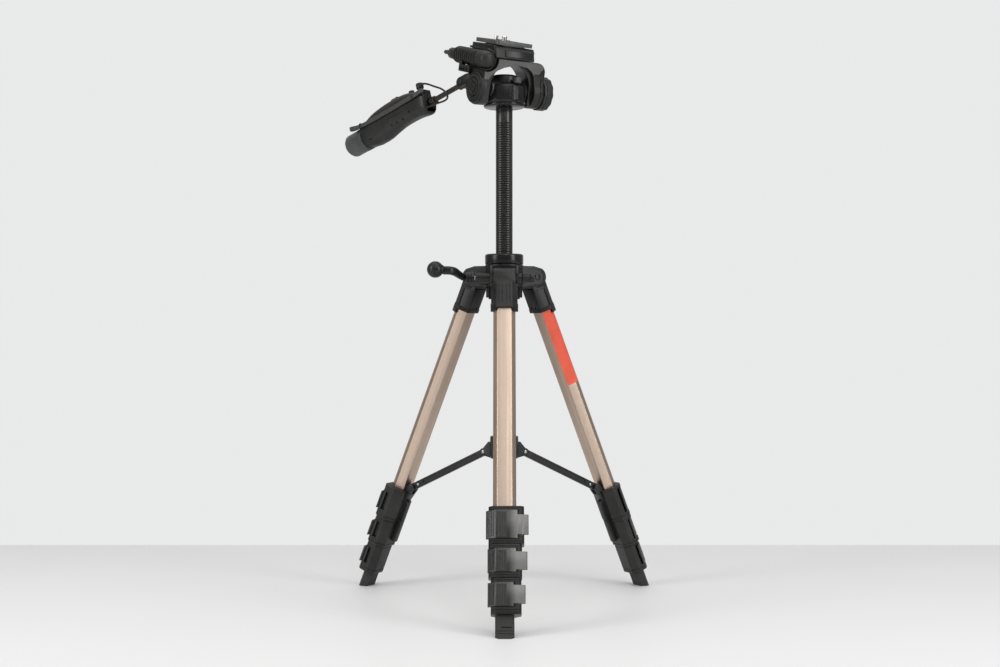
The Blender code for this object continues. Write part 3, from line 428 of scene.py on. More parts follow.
def rod(r, span, at=(0, 0), axis="Z", sides=40, r2=None, bevel=0.0, name="rod"):
    lo, hi = span
    bm = bmesh.new()
    bmesh.ops.create_cone(
        bm, cap_ends=True, cap_tris=False, segments=sides, radius1=r * MM,
        radius2=(r if r2 is None else r2) * MM, depth=(hi - lo) * MM,
    )
    if bevel:
        rims = [e for e in bm.edges if abs(e.verts[0].co.z - e.verts[1].co.z) < 1e-7]
        bmesh.ops.bevel(
            bm, geom=rims, offset=bevel * MM, segments=3, affect="EDGES", profile=0.5
        )
    mid = (lo + hi) / 2
    where = {
        "X": (mid, at[0], at[1]), "Y": (at[0], mid, at[1]), "Z": (at[0], at[1], mid)
    }[axis]
    bmesh.ops.transform(bm, matrix=turn_to(axis), verts=bm.verts)
    bmesh.ops.translate(bm, vec=Vector(where) * MM, verts=bm.verts)
    return from_bm(name, bm)


def ball(r, at, squash=1.0, sides=40, rings=24, name="ball"):
    bm = bmesh.new()
    bmesh.ops.create_uvsphere(bm, u_segments=sides, v_segments=rings, radius=r * MM)
    bmesh.ops.transform(bm, matrix=turn_to("X"), verts=bm.verts)
    bmesh.ops.scale(bm, vec=(squash, 1, 1), verts=bm.verts)
    bmesh.ops.translate(bm, vec=Vector(at) * MM, verts=bm.verts)
    return from_bm(name, bm)


def plate(points, span, axis="Z", holes=(), name="plate"):
    """A flat outline filled and extruded along an axis between the limits of
    span. On Z the points are (x, y); on X they are (y, z); on Y, (x, z)."""
    lo, hi = span
    curve = bpy.data.curves.new(name, "CURVE")
    curve.dimensions = "2D"
    curve.fill_mode = "BOTH"
    curve.extrude = (hi - lo) / 2 * MM
    for loop in (points, *holes):
        s = curve.splines.new("POLY")
        s.points.add(len(loop) - 1)
        for p, (u, v) in zip(s.points, loop):
            p.co = (u * MM, v * MM, 0, 1)
        s.use_cyclic_u = True
    o = bpy.data.objects.new(name, curve)
    PARTS.objects.link(o)
    o = baked(o)
    mid = (lo + hi) / 2 * MM
    stand = {
        "Z": Matrix.Translation((0, 0, mid)),
        "X": Matrix(((0, 0, 1, mid), (1, 0, 0, 0), (0, 1, 0, 0), (0, 0, 0, 1))),
        "Y": Matrix(((1, 0, 0, 0), (0, 0, -1, mid), (0, 1, 0, 0), (0, 0, 0, 1))),
    }[axis]
    o.data.transform(stand)
    return o


def bevelled(o, width, segments=2, angle=35):
    m = o.modifiers.new("Bevel", "BEVEL")
    m.width, m.segments, m.limit_method = width * MM, segments, "ANGLE"
    m.angle_limit = math.radians(angle)
    return baked(o)


def turned(profile, sides=56, name="turned"):
    """A profile of (radius, height) pairs, from the top down its outer side,
    turned about Z."""
    mesh = bpy.data.meshes.new(name)
    pts = [(r * MM, 0, z * MM) for r, z in profile]
    links = [(i, i + 1) for i in range(len(pts) - 1)]
    if profile[0][0] > 0:
        links.append((len(pts) - 1, 0))
    mesh.from_pydata(pts, links, [])
    o = add(name, mesh)
    m = o.modifiers.new("Screw", "SCREW")
    m.steps = m.render_steps = sides
    m.use_merge_vertices, m.merge_threshold = True, 1e-5
    return baked(o)


def swept(points, r, sides=4, name="swept"):
    curve = bpy.data.curves.new(name, "CURVE")
    curve.dimensions = "3D"
    curve.bevel_depth, curve.bevel_resolution = r * MM, sides
    curve.use_fill_caps = True
    s = curve.splines.new("POLY")
    s.points.add(len(points) - 1)
    for p, q in zip(s.points, points):
        p.co = (*(Vector(q[:3]) * MM), 1)
        p.radius = q[3] if len(q) > 3 else 1.0
    o = bpy.data.objects.new(name, curve)
    PARTS.objects.link(o)
    return baked(o)


def smooth_path(points, steps=6):
    """Catmull-Rom points through the given ones."""
    p = [Vector(q) for q in points]
    p = [2 * p[0] - p[1], *p, 2 * p[-1] - p[-2]]
    out = []
    for i in range(1, len(p) - 2):
        for k in range(steps):
            t = k / steps
            out.append(
                0.5 * (
                    2 * p[i] + (p[i + 1] - p[i - 1]) * t
                    + (2 * p[i - 1] - 5 * p[i] + 4 * p[i + 1] - p[i + 2]) * t * t
                    + (3 * p[i] - p[i - 1] - 3 * p[i + 1] + p[i + 2]) * t ** 3
                )
            )
    return [tuple(q) for q in (*out, p[-2])]


def loft(sections, name="loft"):
    """A skin over closed rings of points, with its two ends filled."""
    bm = bmesh.new()
    rings = [[bm.verts.new(Vector(q) * MM) for q in ring] for ring in sections]
    n = len(rings[0])
    for a, b in zip(rings, rings[1:]):
        for i in range(n):
            bm.faces.new((a[i], a[(i + 1) % n], b[(i + 1) % n], b[i]))
    bm.faces.new(rings[0])
    bm.faces.new(list(reversed(rings[-1])))
    return from_bm(name, bm)


def combined(o, others, operation, solver="EXACT"):
    for other in others:
        m = o.modifiers.new(operation.title(), "BOOLEAN")
        m.operation, m.object, m.solver = operation, other, solver
    o = baked(o)
    for other in others:
        bpy.data.objects.remove(other, do_unlink=True)
    return o


def joined(o, *others):
    return combined(o, others, "UNION")


def cut(o, *others):
    return combined(o, others, "DIFFERENCE")


def moved(o, matrix):
    o.data.transform(matrix)
    return o


def copied(o):
    return add(o.name + "_copy", o.data.copy())


def inset(points, d):
    """A convex outline with each side moved inwards by d."""
    area = sum(
        a[0] * b[1] - b[0] * a[1] for a, b in zip(points, points[1:] + points[:1])
    )
    s = 1 if area > 0 else -1
    lines = []
    for a, b in zip(points, points[1:] + points[:1]):
        dx, dy = b[0] - a[0], b[1] - a[1]
        n = math.hypot(dx, dy)
        nx, ny = -dy / n * s, dx / n * s
        lines.append((nx, ny, nx * a[0] + ny * a[1] + d))
    out = []
    for (a1, b1, c1), (a2, b2, c2) in zip(lines[-1:] + lines[:-1], lines):
        det = a1 * b2 - a2 * b1
        out.append(((c1 * b2 - c2 * b1) / det, (a1 * c2 - a2 * c1) / det))
    return out


def rounded(points, r, n=4):
    """The outline with its corners rounded; r is one radius or one a corner."""
    out = []
    count = len(points)
    for i, q in enumerate(points):
        p = Vector(q)
        u = Vector(points[i - 1]) - p
        v = Vector(points[(i + 1) % count]) - p
        lu, lv = u.length, v.length
        u.normalize()
        v.normalize()
        radius = r[i] if isinstance(r, (list, tuple)) else r
        angle = math.acos(max(-1.0, min(1.0, u.dot(v))))
        if radius <= 0 or angle > math.radians(176):
            out.append((p.x, p.y))
            continue
        reach = min(radius / math.tan(angle / 2), 0.46 * lu, 0.46 * lv)
        radius = reach * math.tan(angle / 2)
        centre = p + (u + v).normalized() * (radius / math.sin(angle / 2))
        s, e = p + u * reach - centre, p + v * reach - centre
        a0 = math.atan2(s.y, s.x)
        d = (math.atan2(e.y, e.x) - a0 + math.pi) % (2 * math.pi) - math.pi
        for k in range(n + 1):
            t = a0 + d * k / n
            out.append((centre.x + radius * math.cos(t), centre.y + radius * math.sin(t)))
    return out


def circle(r, at=(0, 0), n=32, start=0.0):
    return [
        (
            at[0] + r * math.cos(start + 2 * math.pi * k / n),
            at[1] + r * math.sin(start + 2 * math.pi * k / n),
        )
        for k in range(n)
    ]


def arc(r, at, a0, a1, n):
    return [
        (
            at[0] + r * math.cos(math.radians(a0 + (a1 - a0) * k / n)),
            at[1] + r * math.sin(math.radians(a0 + (a1 - a0) * k / n)),
        )
        for k in range(n + 1)
    ]


def capsule(p, q, r, n=12):
    a = math.degrees(math.atan2(q[1] - p[1], q[0] - p[0]))
    return arc(r, q, a - 90, a + 90, n) + arc(r, p, a + 90, a + 270, n)


def down(t0, t1):
    return (-t1, -t0)


def at(x, y, z):
    return Matrix.Translation(Vector((x, y, z)) * MM)


def turn(degrees, axis):
    return Matrix.Rotation(math.radians(degrees), 4, axis)


def show(o, name, material, body, own, nodes=(), slot=None, angle=32):
    """Finishes a piece: its name, shading and material, its place in the frame
    (own is the matrix of the frame it was modelled in) and the body it rides."""
    o.name = o.data.name = name
    o.data.materials.clear()
    o.data.materials.append(material)
    o.data.shade_smooth()
    o.data.set_sharp_from_angle(angle=math.radians(angle))
    o.matrix_world = own
    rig.ride(o, body)
    if nodes:
        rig.replaces(o, *nodes)
    if slot:
        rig.slot(o, slot)
    return o


def again(source, name, body, own, nodes=(), slot=None):
    o = bpy.data.objects.new(name, source.data)
    PARTS.objects.link(o)
    o.matrix_world = own
    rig.ride(o, body)
    if nodes:
        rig.replaces(o, *nodes)
    if slot:
        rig.slot(o, slot)
    return o


def screw_head(r, height, slot=True):
    """A pan-head screw standing on z = 0, with a cross recess."""
    head = turned(
        [(0, height), (r * 0.55, height), (r * 0.85, height * 0.72), (r, height * 0.25),
         (r, 0), (0, 0)], 28, "screw",
    )
    if slot:
        w = r * 0.16
        head = cut(
            head,
            box((-r * 0.6, r * 0.6), (-w, w), (height * 0.45, height * 2)),
            box((-w, w), (-r * 0.6, r * 0.6), (height * 0.45, height * 2)),
        )
    return head


low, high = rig.box("column_collar")
BASE = Matrix.Translation(((low.x + high.x) / 2, (low.y + high.y) / 2, 0))

# ================================================================ LEGS
# Leg frame: the origin is the leg's pivot, x runs across the leg, +y towards
# the column and -z down along the leg.
LEAN = 22.88
PIVOT_R, PIVOT_Z = 36.2, 376.0
TUBE_1 = [
    (-8, -9.25), (8, -9.25), (12.5, -2.6), (10, 8.0), (-10, 8.0), (-12.5, -2.6),
]
LOCKS = {
    # collar x, lever x, where the tab starts, lever t, tab t, front, back
    1: ((-17.0, 20.5), (-20.0, 25.1), 13.4, (277.4, 307.6), (282.1, 303.6), -12.6, 12.0),
    2: ((-17.0, 18.1), (-18.2, 23.6), 11.8, (318.2, 343.0), (321.6, 340.6), -12.2, 11.2),
    3: ((-14.5, 17.3), (-18.0, 21.4), 9.0, (353.6, 378.4), (356.4, 375.6), -11.2, 10.0),
}
SPANS = {1: (273.0, 313.2), 2: (313.5, 348.6), 3: (348.9, 386.3)}
leg = {}


def leg_tube(d, wall, t0, t1):
    r = max(0.5, 1.3 - 0.15 * d)
    return plate(
        rounded(inset(TUBE_1, d), r, 4), down(t0, t1),
        holes=[rounded(inset(TUBE_1, d + wall), max(0.3, r - 0.5), 3)],
    )


leg["outer_tube"] = (leg_tube(0, 1.0, 15.4, 288), CHAMPAGNE, "tube_1", "leg")
leg["second_tube"] = (leg_tube(1.5, 1.0, 18, 330), CHAMPAGNE, None, "2")
leg["third_tube"] = (leg_tube(3.0, 1.0, 21, 370), CHAMPAGNE, None, "3")
leg["fourth_tube"] = (leg_tube(4.5, 1.0, 24, 391.5), CHAMPAGNE, "tube_4", "4")

# hinge cap: ribbed socket with a skirt, and its tongue between the ears
skin = rounded(inset(TUBE_1, -2.5), 1.5, 4)
cap = bevelled(plate(skin, down(11.5, 46.0)), 0.5, 2, 40)
band = bevelled(plate(rounded(inset(TUBE_1, -2.95), 1.6, 4), down(36.6, 46.4)), 0.35, 2, 40)
tongue = bevelled(
    plate([(-9.6, -14), (9.0, -14)] + arc(10.0, (0, 0), 0, 180, 28), (-12.7, 12.7), "X"),
    0.7, 2, 40,
)
cap = joined(cap, band, tongue)
cuts = [
    plate(rounded(inset(TUBE_1, -0.3), 1.2, 3), down(15, 60)),
    rod(3.3, (-20, 20), axis="X", sides=28),
    # the arched front edge
    moved(
        plate(
            rounded([(-9.2, 43.8), (9.2, 43.8), (12.4, 60), (-12.4, 60)],
                    [2.6, 2.6, 0, 0], 6),
            (-40, -3.0), "Y",
        ),
        Matrix.Scale(-1, 4, (0, 0, 1)),
    ),
    # the sides and the back end higher than the front
    box((-40, 40), (-3.4, 40), down(41.2, 60)),
    # flutes down the front, and the step under the ears
    box((-6.6, -5.2), (-14, -11.15), down(16.5, 37.6)),
    box((5.2, 6.6), (-14, -11.15), down(16.5, 37.6)),
    box((-2.6, -2.0), (-14, -11.35), down(16.5, 37.6)),
    box((2.0, 2.6), (-14, -11.35), down(16.5, 37.6)),
    box((-9.1, -6.9), (-14, -10.6), down(9.0, 12.6)),
    box((6.9, 9.1), (-14, -10.6), down(9.0, 12.6)),
]
for c in cuts:
    bm = bmesh.new()
    bm.from_mesh(c.data)
    bmesh.ops.recalc_face_normals(bm, faces=bm.faces)
    bm.to_mesh(c.data)
    bm.free()
for side in (-1, 1):
    # a long panel on each side wall, and a cap-screw hole low on the back
    cuts.append(box(
        *([(13.55, 20)] if side > 0 else [(-20, -13.55)]), (-3.4, 4.4), down(15.5, 36.6)
    ))
    cuts.append(rod(1.5, (7.0, 14.0), (side * 4.6, -35.0), "Y", 24))
cap = cut(cap, *cuts)
leg["hinge_cap_shell"] = (cap, BLACK, "hinge_cap", "leg")
cap_screws = joined(
    *[
        moved(screw_head(1.3, 0.5), at(x, 9.1, -35.0) @ turn(-90, "X"))
        for x in (-4.6, 4.6)
    ]
)
leg["cap_screws"] = (cap_screws, RIVET, None, "leg")


def hinge_of(k):
    return LOCKS[k][0][1] - 2.4, LOCKS[k][5] + 2.6


def collar(k, extra=()):
    (x0, x1), (l0, l1), tab, (t0, t1), (b0, b1), front, back = LOCKS[k]
    outline = [
        (x0 + 4, front), (x1 - 3, front), (x1, front + 3), (x1, 2.5),
        (x1 - 6.5, back), (x0 + 6.5, back), (x0, 2.5), (x0, front + 4.5),
    ]
    span = SPANS[k]
    block = bevelled(plate(rounded(outline, 1.0, 3), down(*span)), 0.45, 2, 40)
    if extra:
        block = joined(block, *extra)
    hx, hy = hinge_of(k)
    big = [(-60, -60), (60, -60), (60, 60), (-60, 60)]

    def groove(t, depth, width=0.7):
        return plate(big, down(t, t + width), holes=[rounded(inset(outline, depth), 0.8, 3)])

    low_band = {1: 310.4, 2: 345.9, 3: 381.6}[k]
    return cut(
        block,
        box((x0 - 5, tab + 1.4), (-30, front + 2.0), down(t0 - 0.4, t1 + 0.4)),
        # finger gap behind the lever's wing
        plate(
            [(-25, -30), (-9.2, -30), (-9.2, front + 1.9), (x0 + 0.4, front + 8.6),
             (x0 - 8, front + 13)],
            down(t0 - 0.4, t1 + 0.4),
        ),
        box((tab, 40), (-30, front + 2.0), down(b0 - 0.4, b1 + 0.4)),
        box((hx - 1.5, 40), (-30, hy + l1 - hx + 0.6), down(b0 - 0.4, b1 + 0.4)),
        rod(3.0, down(b0 - 0.4, b1 + 0.4), (hx, hy), sides=28),
        groove(low_band, 0.7), groove(span[0] + 2.0, 0.45, 0.5),
        # shallow grip panels on the right-hand wall, above and below the tab
        box((x1 - 0.5, x1 + 3), (-6.5, 0.5), down(t0 + 0.6, b0 - 1.4)),
        box((x1 - 0.5, x1 + 3), (-6.5, 0.5), down(b1 + 1.4, t1 - 0.6)),
    )


def lever(k):
    """A flip lever: a ribbed thumb plate that falls away to a smooth tab on the
    hinge side, and a slanted finger wing on the other."""
    (x0, x1), (l0, l1), tab, (t0, t1), (b0, b1), front, back = LOCKS[k]
    hx, hy = hinge_of(k)
    face, under = front - 1.5, front + 1.7
    corner = -9.8

    def fall(x):
        return face + 1.55 * max(0.0, (x + 2.0) / 20.0) ** 2

    outer = [(x, fall(x)) for x in [tab + (corner + 12 - tab) * i / 10 for i in range(11)]]
    wing = [
        (corner + 0.9, face), (corner + 0.2, face + 0.15), (corner - 0.4, face + 0.6),
        (l0 + 1.0, face + 6.4), (l0 + 0.3, face + 7.3), (l0 + 0.7, face + 8.3),
        (l0 + 1.9, face + 8.6), (corner - 0.4, under + 0.1), (corner + 1.2, under),
    ]
    o = bevelled(plate([(tab, under)] + outer + wing, down(t0, t1)), 0.45, 2, 50)
    right = [(tab - 2, fall(tab - 2) + 0.03)]
    right += [(x, fall(x)) for x in [tab + (l1 - 0.8 - tab) * i / 6 for i in range(1, 7)]]
    right += [(l1, fall(l1) + 0.8), (l1, hy - 0.6), (l1 - 0.9, hy + 0.2), (hx, hy + 0.2),
              (hx - 2.0, under - 0.05), (tab - 2, under - 0.05)]
    w = bevelled(plate(right, down(b0, b1)), 0.45, 2, 50)
    o = combined(o, (w, rod(2.6, down(b0 + 0.05, b1 - 0.05), (hx, hy), sides=32)),
                 "UNION", "MANIFOLD")
    ribs = []
    for i in range(6):
        x = corner + 1.9 + 1.75 * i
        ribs.append(box((x, x + 0.85), (face - 2, face + 0.85), down(t0 + 2.2, t1 - 2.2)))
    slope = math.degrees(math.atan2(5.8, corner - 0.4 - l0 - 1.0))
    for i in range(4):
        r = box((-0.4, 0.4), (-2, 0.6), down(t0 + 2.2, t1 - 2.2))
        share = 0.2 + 0.2 * i
        x = corner - 0.4 + (l0 + 1.0 - corner + 0.4) * share
        y = face + 0.6 + 5.8 * share
        ribs.append(moved(r, at(x, y, 0) @ turn(-slope, "Z")))
    ribs.append(rod(1.4, down(b0 - 5, b1 + 5), (hx, hy), sides=20))
    return combined(o, ribs, "DIFFERENCE", "MANIFOLD")


def lever_pin(k):
    b0, b1 = LOCKS[k][4]
    return rod(1.15, down(b0 - 2, b1 + 2), hinge_of(k), sides=24, bevel=0.2)


def collar_bore(k):
    d = {1: -0.3, 2: 1.2, 3: 2.7}[k]
    return rounded(inset(TUBE_1, d), 1.0, 3)


lug = bevelled(
    plate(
        [(8.0, -287), (13.5, -287), (18.5, -269.6)]
        + arc(4.6, (14.0, -267.6), -10, 190, 16) + [(8.0, -272)],
        (-6.2, 6.2), "X",
    ),
    0.5, 2, 50,
)
fin = box((-3.4, 3.4), (11.6, 17.6), down(287, 340), 0.9)
root = box((-3.4, 3.4), (9.0, 17.6), down(285, 311), 0.9)
one = collar(1, (lug, root, fin))
one = cut(
    one,
    plate(collar_bore(1), down(255, 292.5)),
    plate(rounded(inset(TUBE_1, 1.1), 1.0, 3), down(292, 313.6)),
    box((-3.2, 3.2), (8.4, 24), down(255, 275.0)),
    box((-8, 8), (8, 12.0), down(313.3, 349)),
    box((-4.5, -2.7), (12.8, 16.4), down(289, 334)),
    box((2.7, 4.5), (12.8, 16.4), down(289, 334)),
)
leg["lock_1_housing"] = (one, GREY, "collar_1", "leg")
leg["lock_2_housing"] = (
    cut(collar(2), plate(collar_bore(2), down(300, 336)),
        plate(rounded(inset(TUBE_1, 2.6), 0.9, 3), down(328, 354))),
    GREY, "section_2", "2",
)
leg["lock_3_housing"] = (
    cut(collar(3), plate(collar_bore(3), down(340, 376)),
        plate(rounded(inset(TUBE_1, 4.1), 0.8, 3), down(368, 392))),
    GREY, "section_3", "3",
)
for k in (1, 2, 3):
    leg[f"lock_{k}_lever"] = (lever(k), TAB, f"lever_{k}", f"lever {k}")
    leg[f"lock_{k}_pin"] = (lever_pin(k), STEEL, None, {1: "leg", 2: "2", 3: "3"}[k])

# rubber foot: a soft-edged boot, grooved round and slotted in front
lean = math.radians(LEAN)
boot = bevelled(
    plate(rounded(inset(TUBE_1, 2.2), 2.2, 4), down(386.5, 411.5)), 1.5, 3, 40
)
ground = moved(
    box((-40, 40), (-260, -140), (-40, 0)),
    turn(LEAN, "X") @ at(0, PIVOT_R, -PIVOT_Z),
)
around = [(-60, -60), (60, -60), (60, 60), (-60, 60)]
boot = cut(
    boot, ground,
    plate(rounded(inset(TUBE_1, 4.2), 0.8, 3), down(380, 391.8)),
    box((-3.6, 7.4), (-12, -5.6), down(398.6, 400.0)),
    plate(around, down(402.6, 403.2), holes=[rounded(inset(TUBE_1, 2.8), 1.6, 4)]),
    plate(around, down(405.4, 406.0), holes=[rounded(inset(TUBE_1, 2.8), 1.6, 4)]),
)
leg["boot"] = (boot, RUBBER, "foot", "4")

# brace strut: a flat bar with a channel in each face, and its rivets
P = (14.0, -267.6)
OUT_R = PIVOT_R + 267.6 * math.sin(lean) - 14.0 * math.cos(lean)
OUT_Z = PIVOT_Z - 267.6 * math.cos(lean) - 14.0 * math.sin(lean)
RISE = math.atan2(172.0 - OUT_Z, OUT_R - 25.0) + lean
SPAN = math.hypot(172.0 - OUT_Z, OUT_R - 25.0)


def along(s):
    return P[0] + s * math.cos(RISE), P[1] + s * math.sin(RISE)


bar = bevelled(plate(capsule(P, along(SPAN), 4.0, 12), (-2.75, 2.75), "X"), 0.5, 2, 50)
channels = [
    plate(capsule(along(20), along(SPAN - 14), 2.1, 8), s, "X")
    for s in ((1.75, 5), (-5, -1.75))
]
bar = cut(bar, *channels)
leg["brace_bar"] = (bar, BLACK, "strut", "strut")
rivets = []
for s, r in ((0.0, 2.0), (10.0, 1.7), (SPAN, 2.0)):
    y, z = along(s)
    for side in (-1, 1):
        rivets.append(
            moved(
                turned([(0, 0.7), (r * 0.5, 0.66), (r * 0.85, 0.42), (r, 0.0), (r, -0.5),
                        (0, -0.5)], 24),
                at(side * 2.75, y, z) @ turn(side * 90, "Y"),
            )
        )
leg["brace_rivets"] = (joined(*rivets), RIVET, None, "strut")

for side, angle in (("front", 0), ("right", 120), ("left", 240)):
    home = BASE @ turn(angle, "Z") @ at(0, -PIVOT_R, PIVOT_Z) @ turn(-LEAN, "X")
    for piece, (o, mat, node, owner) in leg.items():
        if owner == "leg":
            body = f"{side}_leg"
        elif owner == "strut":
            body = f"{side}_strut"
        elif owner.startswith("lever"):
            body = f"{side}_lock_lever_{owner[-1]}"
        else:
            body = f"{side}_leg_section_{owner}"
        nodes = [f"{side}_{node}"] if node else []
        slot = {
            "CHAMPAGNE": "champagne_aluminium", "BLACK": "black_plastic",
            "GREY": "grey_plastic", "TAB": "grey_plastic", "STEEL": "steel",
            "RIVET": "steel", "RUBBER": "foot_rubber",
        }[[k for k, v in list(globals().items()) if v is mat and k.isupper()][0]]
        if side == "front":
            show(o, f"front_{piece}", mat, body, home, nodes, slot)
        else:
            again(o, f"{side}_{piece}", body, home, nodes, slot)
    if side == "right":
        # a film stuck on the side wall that faces forwards, lapped on the chamfer
        film = plate(
            [(-10.03, 7.75), (-12.53, -2.62), (-8.9, -8.0),
             (-9.01, -8.07), (-12.66, -2.64), (-10.15, 7.78)],
            down(38.0, 135.5),
        )
        show(film, "right_leg_film", STICKER, "right_leg", home, (), "champagne_aluminium")

# ================================================================ SHOULDER
# Modelled about the column's axis.
TURNS = (0, 120, 240)
SHAFT_Y, SHAFT_Z = -14.5, 374.0
body = bevelled(rod(22.2, (364.7, 390), sides=56), 0.6, 2, 50)
arms, slots, panels, caps = [], [], [], []
for a in TURNS:
    arm = plate(
        [(-5, 364.7), (-33, 364.7)]
        + arc(11.3, (-PIVOT_R, PIVOT_Z), 255, 120, 20)
        + [(-31, 388.5), (-5, 388.5)],
        (-16, 16), "X",
    )
    arms.append(moved(bevelled(arm, 1.1, 3, 30), turn(a, "Z")))
    slots.append(moved(box((-13.2, 13.2), (-60, -24.0), (340, 386.2), 0.6), turn(a, "Z")))
    for x in ((15.2, 20), (-20, -15.2)):
        panels.append(
            moved(
                plate(
                    [(-27.5, 367.4), (-33, 367.4)]
                    + arc(8.6, (-PIVOT_R, PIVOT_Z), 250, 125, 16)
                    + [(-32, 385.6), (-27.5, 385.6)],
                    x, "X",
                ),
                turn(a, "Z"),
            )
        )
    # rib under each arm's root
    arms.append(moved(box((-1.2, 1.2), (-24, -10), (352, 366), 0.4), turn(a, "Z")))
sleeve = bevelled(rod(18.2, (350, 366), sides=56), 0.5, 2, 50)
shaft_boss = bevelled(rod(6.0, (-33.5, 20.1), (SHAFT_Y, SHAFT_Z), "X", 40), 0.5, 2, 50)
casting = joined(body, sleeve, shaft_boss, *arms)
casting = cut(
    casting, *slots, *panels,
    rod(10.4, (340, 400), sides=48), rod(12.95, (340, 366), sides=48),
    rod(3.2, (-50, 30), (SHAFT_Y, SHAFT_Z), "X", 28),
    box((-4.4, 4.4), (SHAFT_Y - 6.6, -5), (SHAFT_Z - 6.7, SHAFT_Z + 6.7)),
)
show(casting, "shoulder_body", BLACK, "base", BASE, ["shoulder_casting"], "black_plastic")

pins = []
for a in TURNS:
    pins.append(moved(rod(2.9, (-15.4, 15.4), (-PIVOT_R, PIVOT_Z), "X", 32, bevel=0.3),
                      turn(a, "Z")))
    for side in (-1, 1):
        h = screw_head(4.0, 0.8)
        pins.append(moved(
            h, turn(a, "Z") @ at(side * 15.15, -PIVOT_R, PIVOT_Z) @ turn(side * 90, "Y")
        ))
show(joined(*pins), "leg_pivot_pins", GLOSS, "base", BASE, (), "black_plastic")

ring = turned(
    [
        (10.5, 402.2), (11.6, 402.35), (12.4, 402.0), (13.0, 401.5), (18.4, 401.5),
        (19.0, 402.1), (20.4, 402.2), (21.5, 401.8), (22.1, 401.0), (22.3, 399.8),
        (22.3, 391.6), (22.0, 390.8), (21.4, 390.3), (10.5, 390.3),
    ],
    72,
)
show(ring, "column_ring", GLOSS, "base", BASE, ["column_collar"], "black_plastic")

guide = turned(
    [(10.3, 365.6), (12.5, 365.6), (12.5, 168.6), (12.3, 167.2), (11.7, 166.2),
     (10.3, 166.2)],
    56,
)
show(guide, "guide_tube_skin", BLACK_ROD, "base", BASE, ["guide_tube"], "black_metal")

hub = turned(
    [(12.95, 191.0), (15.4, 191.0), (16.2, 190.2), (16.4, 189.0), (16.4, 181.0),
     (15.9, 180.4), (15.9, 179.6), (16.4, 179.0), (16.4, 166.4), (15.9, 165.4),
     (15.0, 165.0), (12.95, 165.0)],
    56,
)
lugs, gaps, studs = [], [], []
for a in TURNS:
    lugs.append(moved(
        bevelled(
            plate(
                [(-13.2, 165)] + arc(4.2, (-25.0, 172.0), 250, 90, 14)
                + [(-18, 184), (-13.2, 184)],
                (-6.6, 6.6), "X",
            ),
            0.5, 2, 40,
        ),
        turn(a, "Z"),
    ))
    gaps.append(moved(box((-3.5, 3.5), (-40, -13.2), (167.7, 200)), turn(a, "Z")))
    gaps.append(moved(box((-3.5, 3.5), (-40, -18.4), (160, 170)), turn(a, "Z")))
    for side in (-1, 1):
        studs.append(moved(
            turned([(0, 0.8), (1.2, 0.75), (2.0, 0.4), (2.2, 0.0), (2.2, -0.6), (0, -0.6)], 24),
            turn(a, "Z") @ at(side * 6.6, -25.0, 172.0) @ turn(side * 90, "Y"),
        ))
hub = cut(joined(hub, *lugs), *gaps)
show(hub, "brace_hub_body", BLACK, "brace_hub", BASE, ["brace_hub"], "black_plastic")
show(joined(*studs), "brace_hub_rivets", RIVET, "brace_hub", BASE, (), "steel")

# ================================================================ COLUMN
PITCH, FLOOR = 2.7, 7.6
column = joined(
    bevelled(rod(9.8, (358, 572.0), sides=64), 0.4, 2, 50), rod(6.0, (566, 594), sides=40)
)
teeth = int((556.0 - 362.0) / PITCH)
first = SHAFT_Z + PITCH * (math.ceil((362.0 - SHAFT_Z) / PITCH) + 0.5)
comb = [(-14, first - 3), (-14, first + teeth * PITCH + 1)]
comb.append((-9.95, first + teeth * PITCH + 1))
for k in reversed(range(teeth)):
    z = first + k * PITCH
    comb += [(-9.95, z + 0.95), (-FLOOR, z + 0.62), (-FLOOR, z - 0.62), (-9.95, z - 0.95)]
comb.append((-9.95, first - 3))
column = cut(column, plate(comb, (-7.5, 7.5), "X"), rod(6.2, (350, 560), sides=32))
# the rack lies between two fine grooves
column = cut(
    column,
    box((-8.35, -7.95), (-9, -4.6), (360, 566)), box((7.95, 8.35), (-9, -4.6), (360, 566)),
)
show(column, "column_tube", BLACK_ROD, "column", BASE, ["centre_column"], "black_metal")

# crank: shaft and pinion stay as built; the arm is a flattened forged bar
KNOB = (-78.5, -36.0, 383.0)
path = smooth_path(
    [
        (-41, SHAFT_Y, SHAFT_Z), (-46, SHAFT_Y - 1.2, SHAFT_Z + 0.5),
        (-51.5, SHAFT_Y - 8, SHAFT_Z + 3.4), (-56.5, -31, KNOB[2] - 2.4),
        (-62, KNOB[1] + 0.4, KNOB[2] - 1.2), (-69.5, KNOB[1], KNOB[2] - 1.0),
    ],
    6,
)
sections = []
for i, q in enumerate(path):
    q = Vector(q)
    a = Vector(path[max(0, i - 1)])
    b = Vector(path[min(len(path) - 1, i + 1)])
    d = (b - a).normalized()
    up = Vector((0, 0, 1))
    up = (up - d * up.dot(d)).normalized()
    out = d.cross(up)
    share = i / (len(path) - 1)
    tall = 3.3 + 1.5 * min(1.0, share * 1.8)
    thick = 2.5 + 0.6 * min(1.0, share * 1.6)
    ring = []
    for k in range(20):
        t = 2 * math.pi * k / 20
        c, s = math.cos(t), math.sin(t)
        ring.append(
            q + up * tall * math.copysign(abs(c) ** 0.7, c)
            + out * thick * math.copysign(abs(s) ** 0.7, s)
        )
    sections.append(ring)
bar = loft(sections)
hub = moved(
    turned(
        [(0, 10.3), (5.4, 10.3), (6.1, 9.7), (6.3, 8.8), (6.3, 7.4), (5.6, 7.0), (5.6, 6.4),
         (6.3, 6.0), (6.3, 3.8), (5.6, 3.4), (5.6, 2.8), (6.3, 2.4), (6.3, 0.7),
         (5.6, 0.0), (0, 0.0)],
        40,
    ),
    at(-44.5, SHAFT_Y, SHAFT_Z) @ turn(90, "Y"),
)
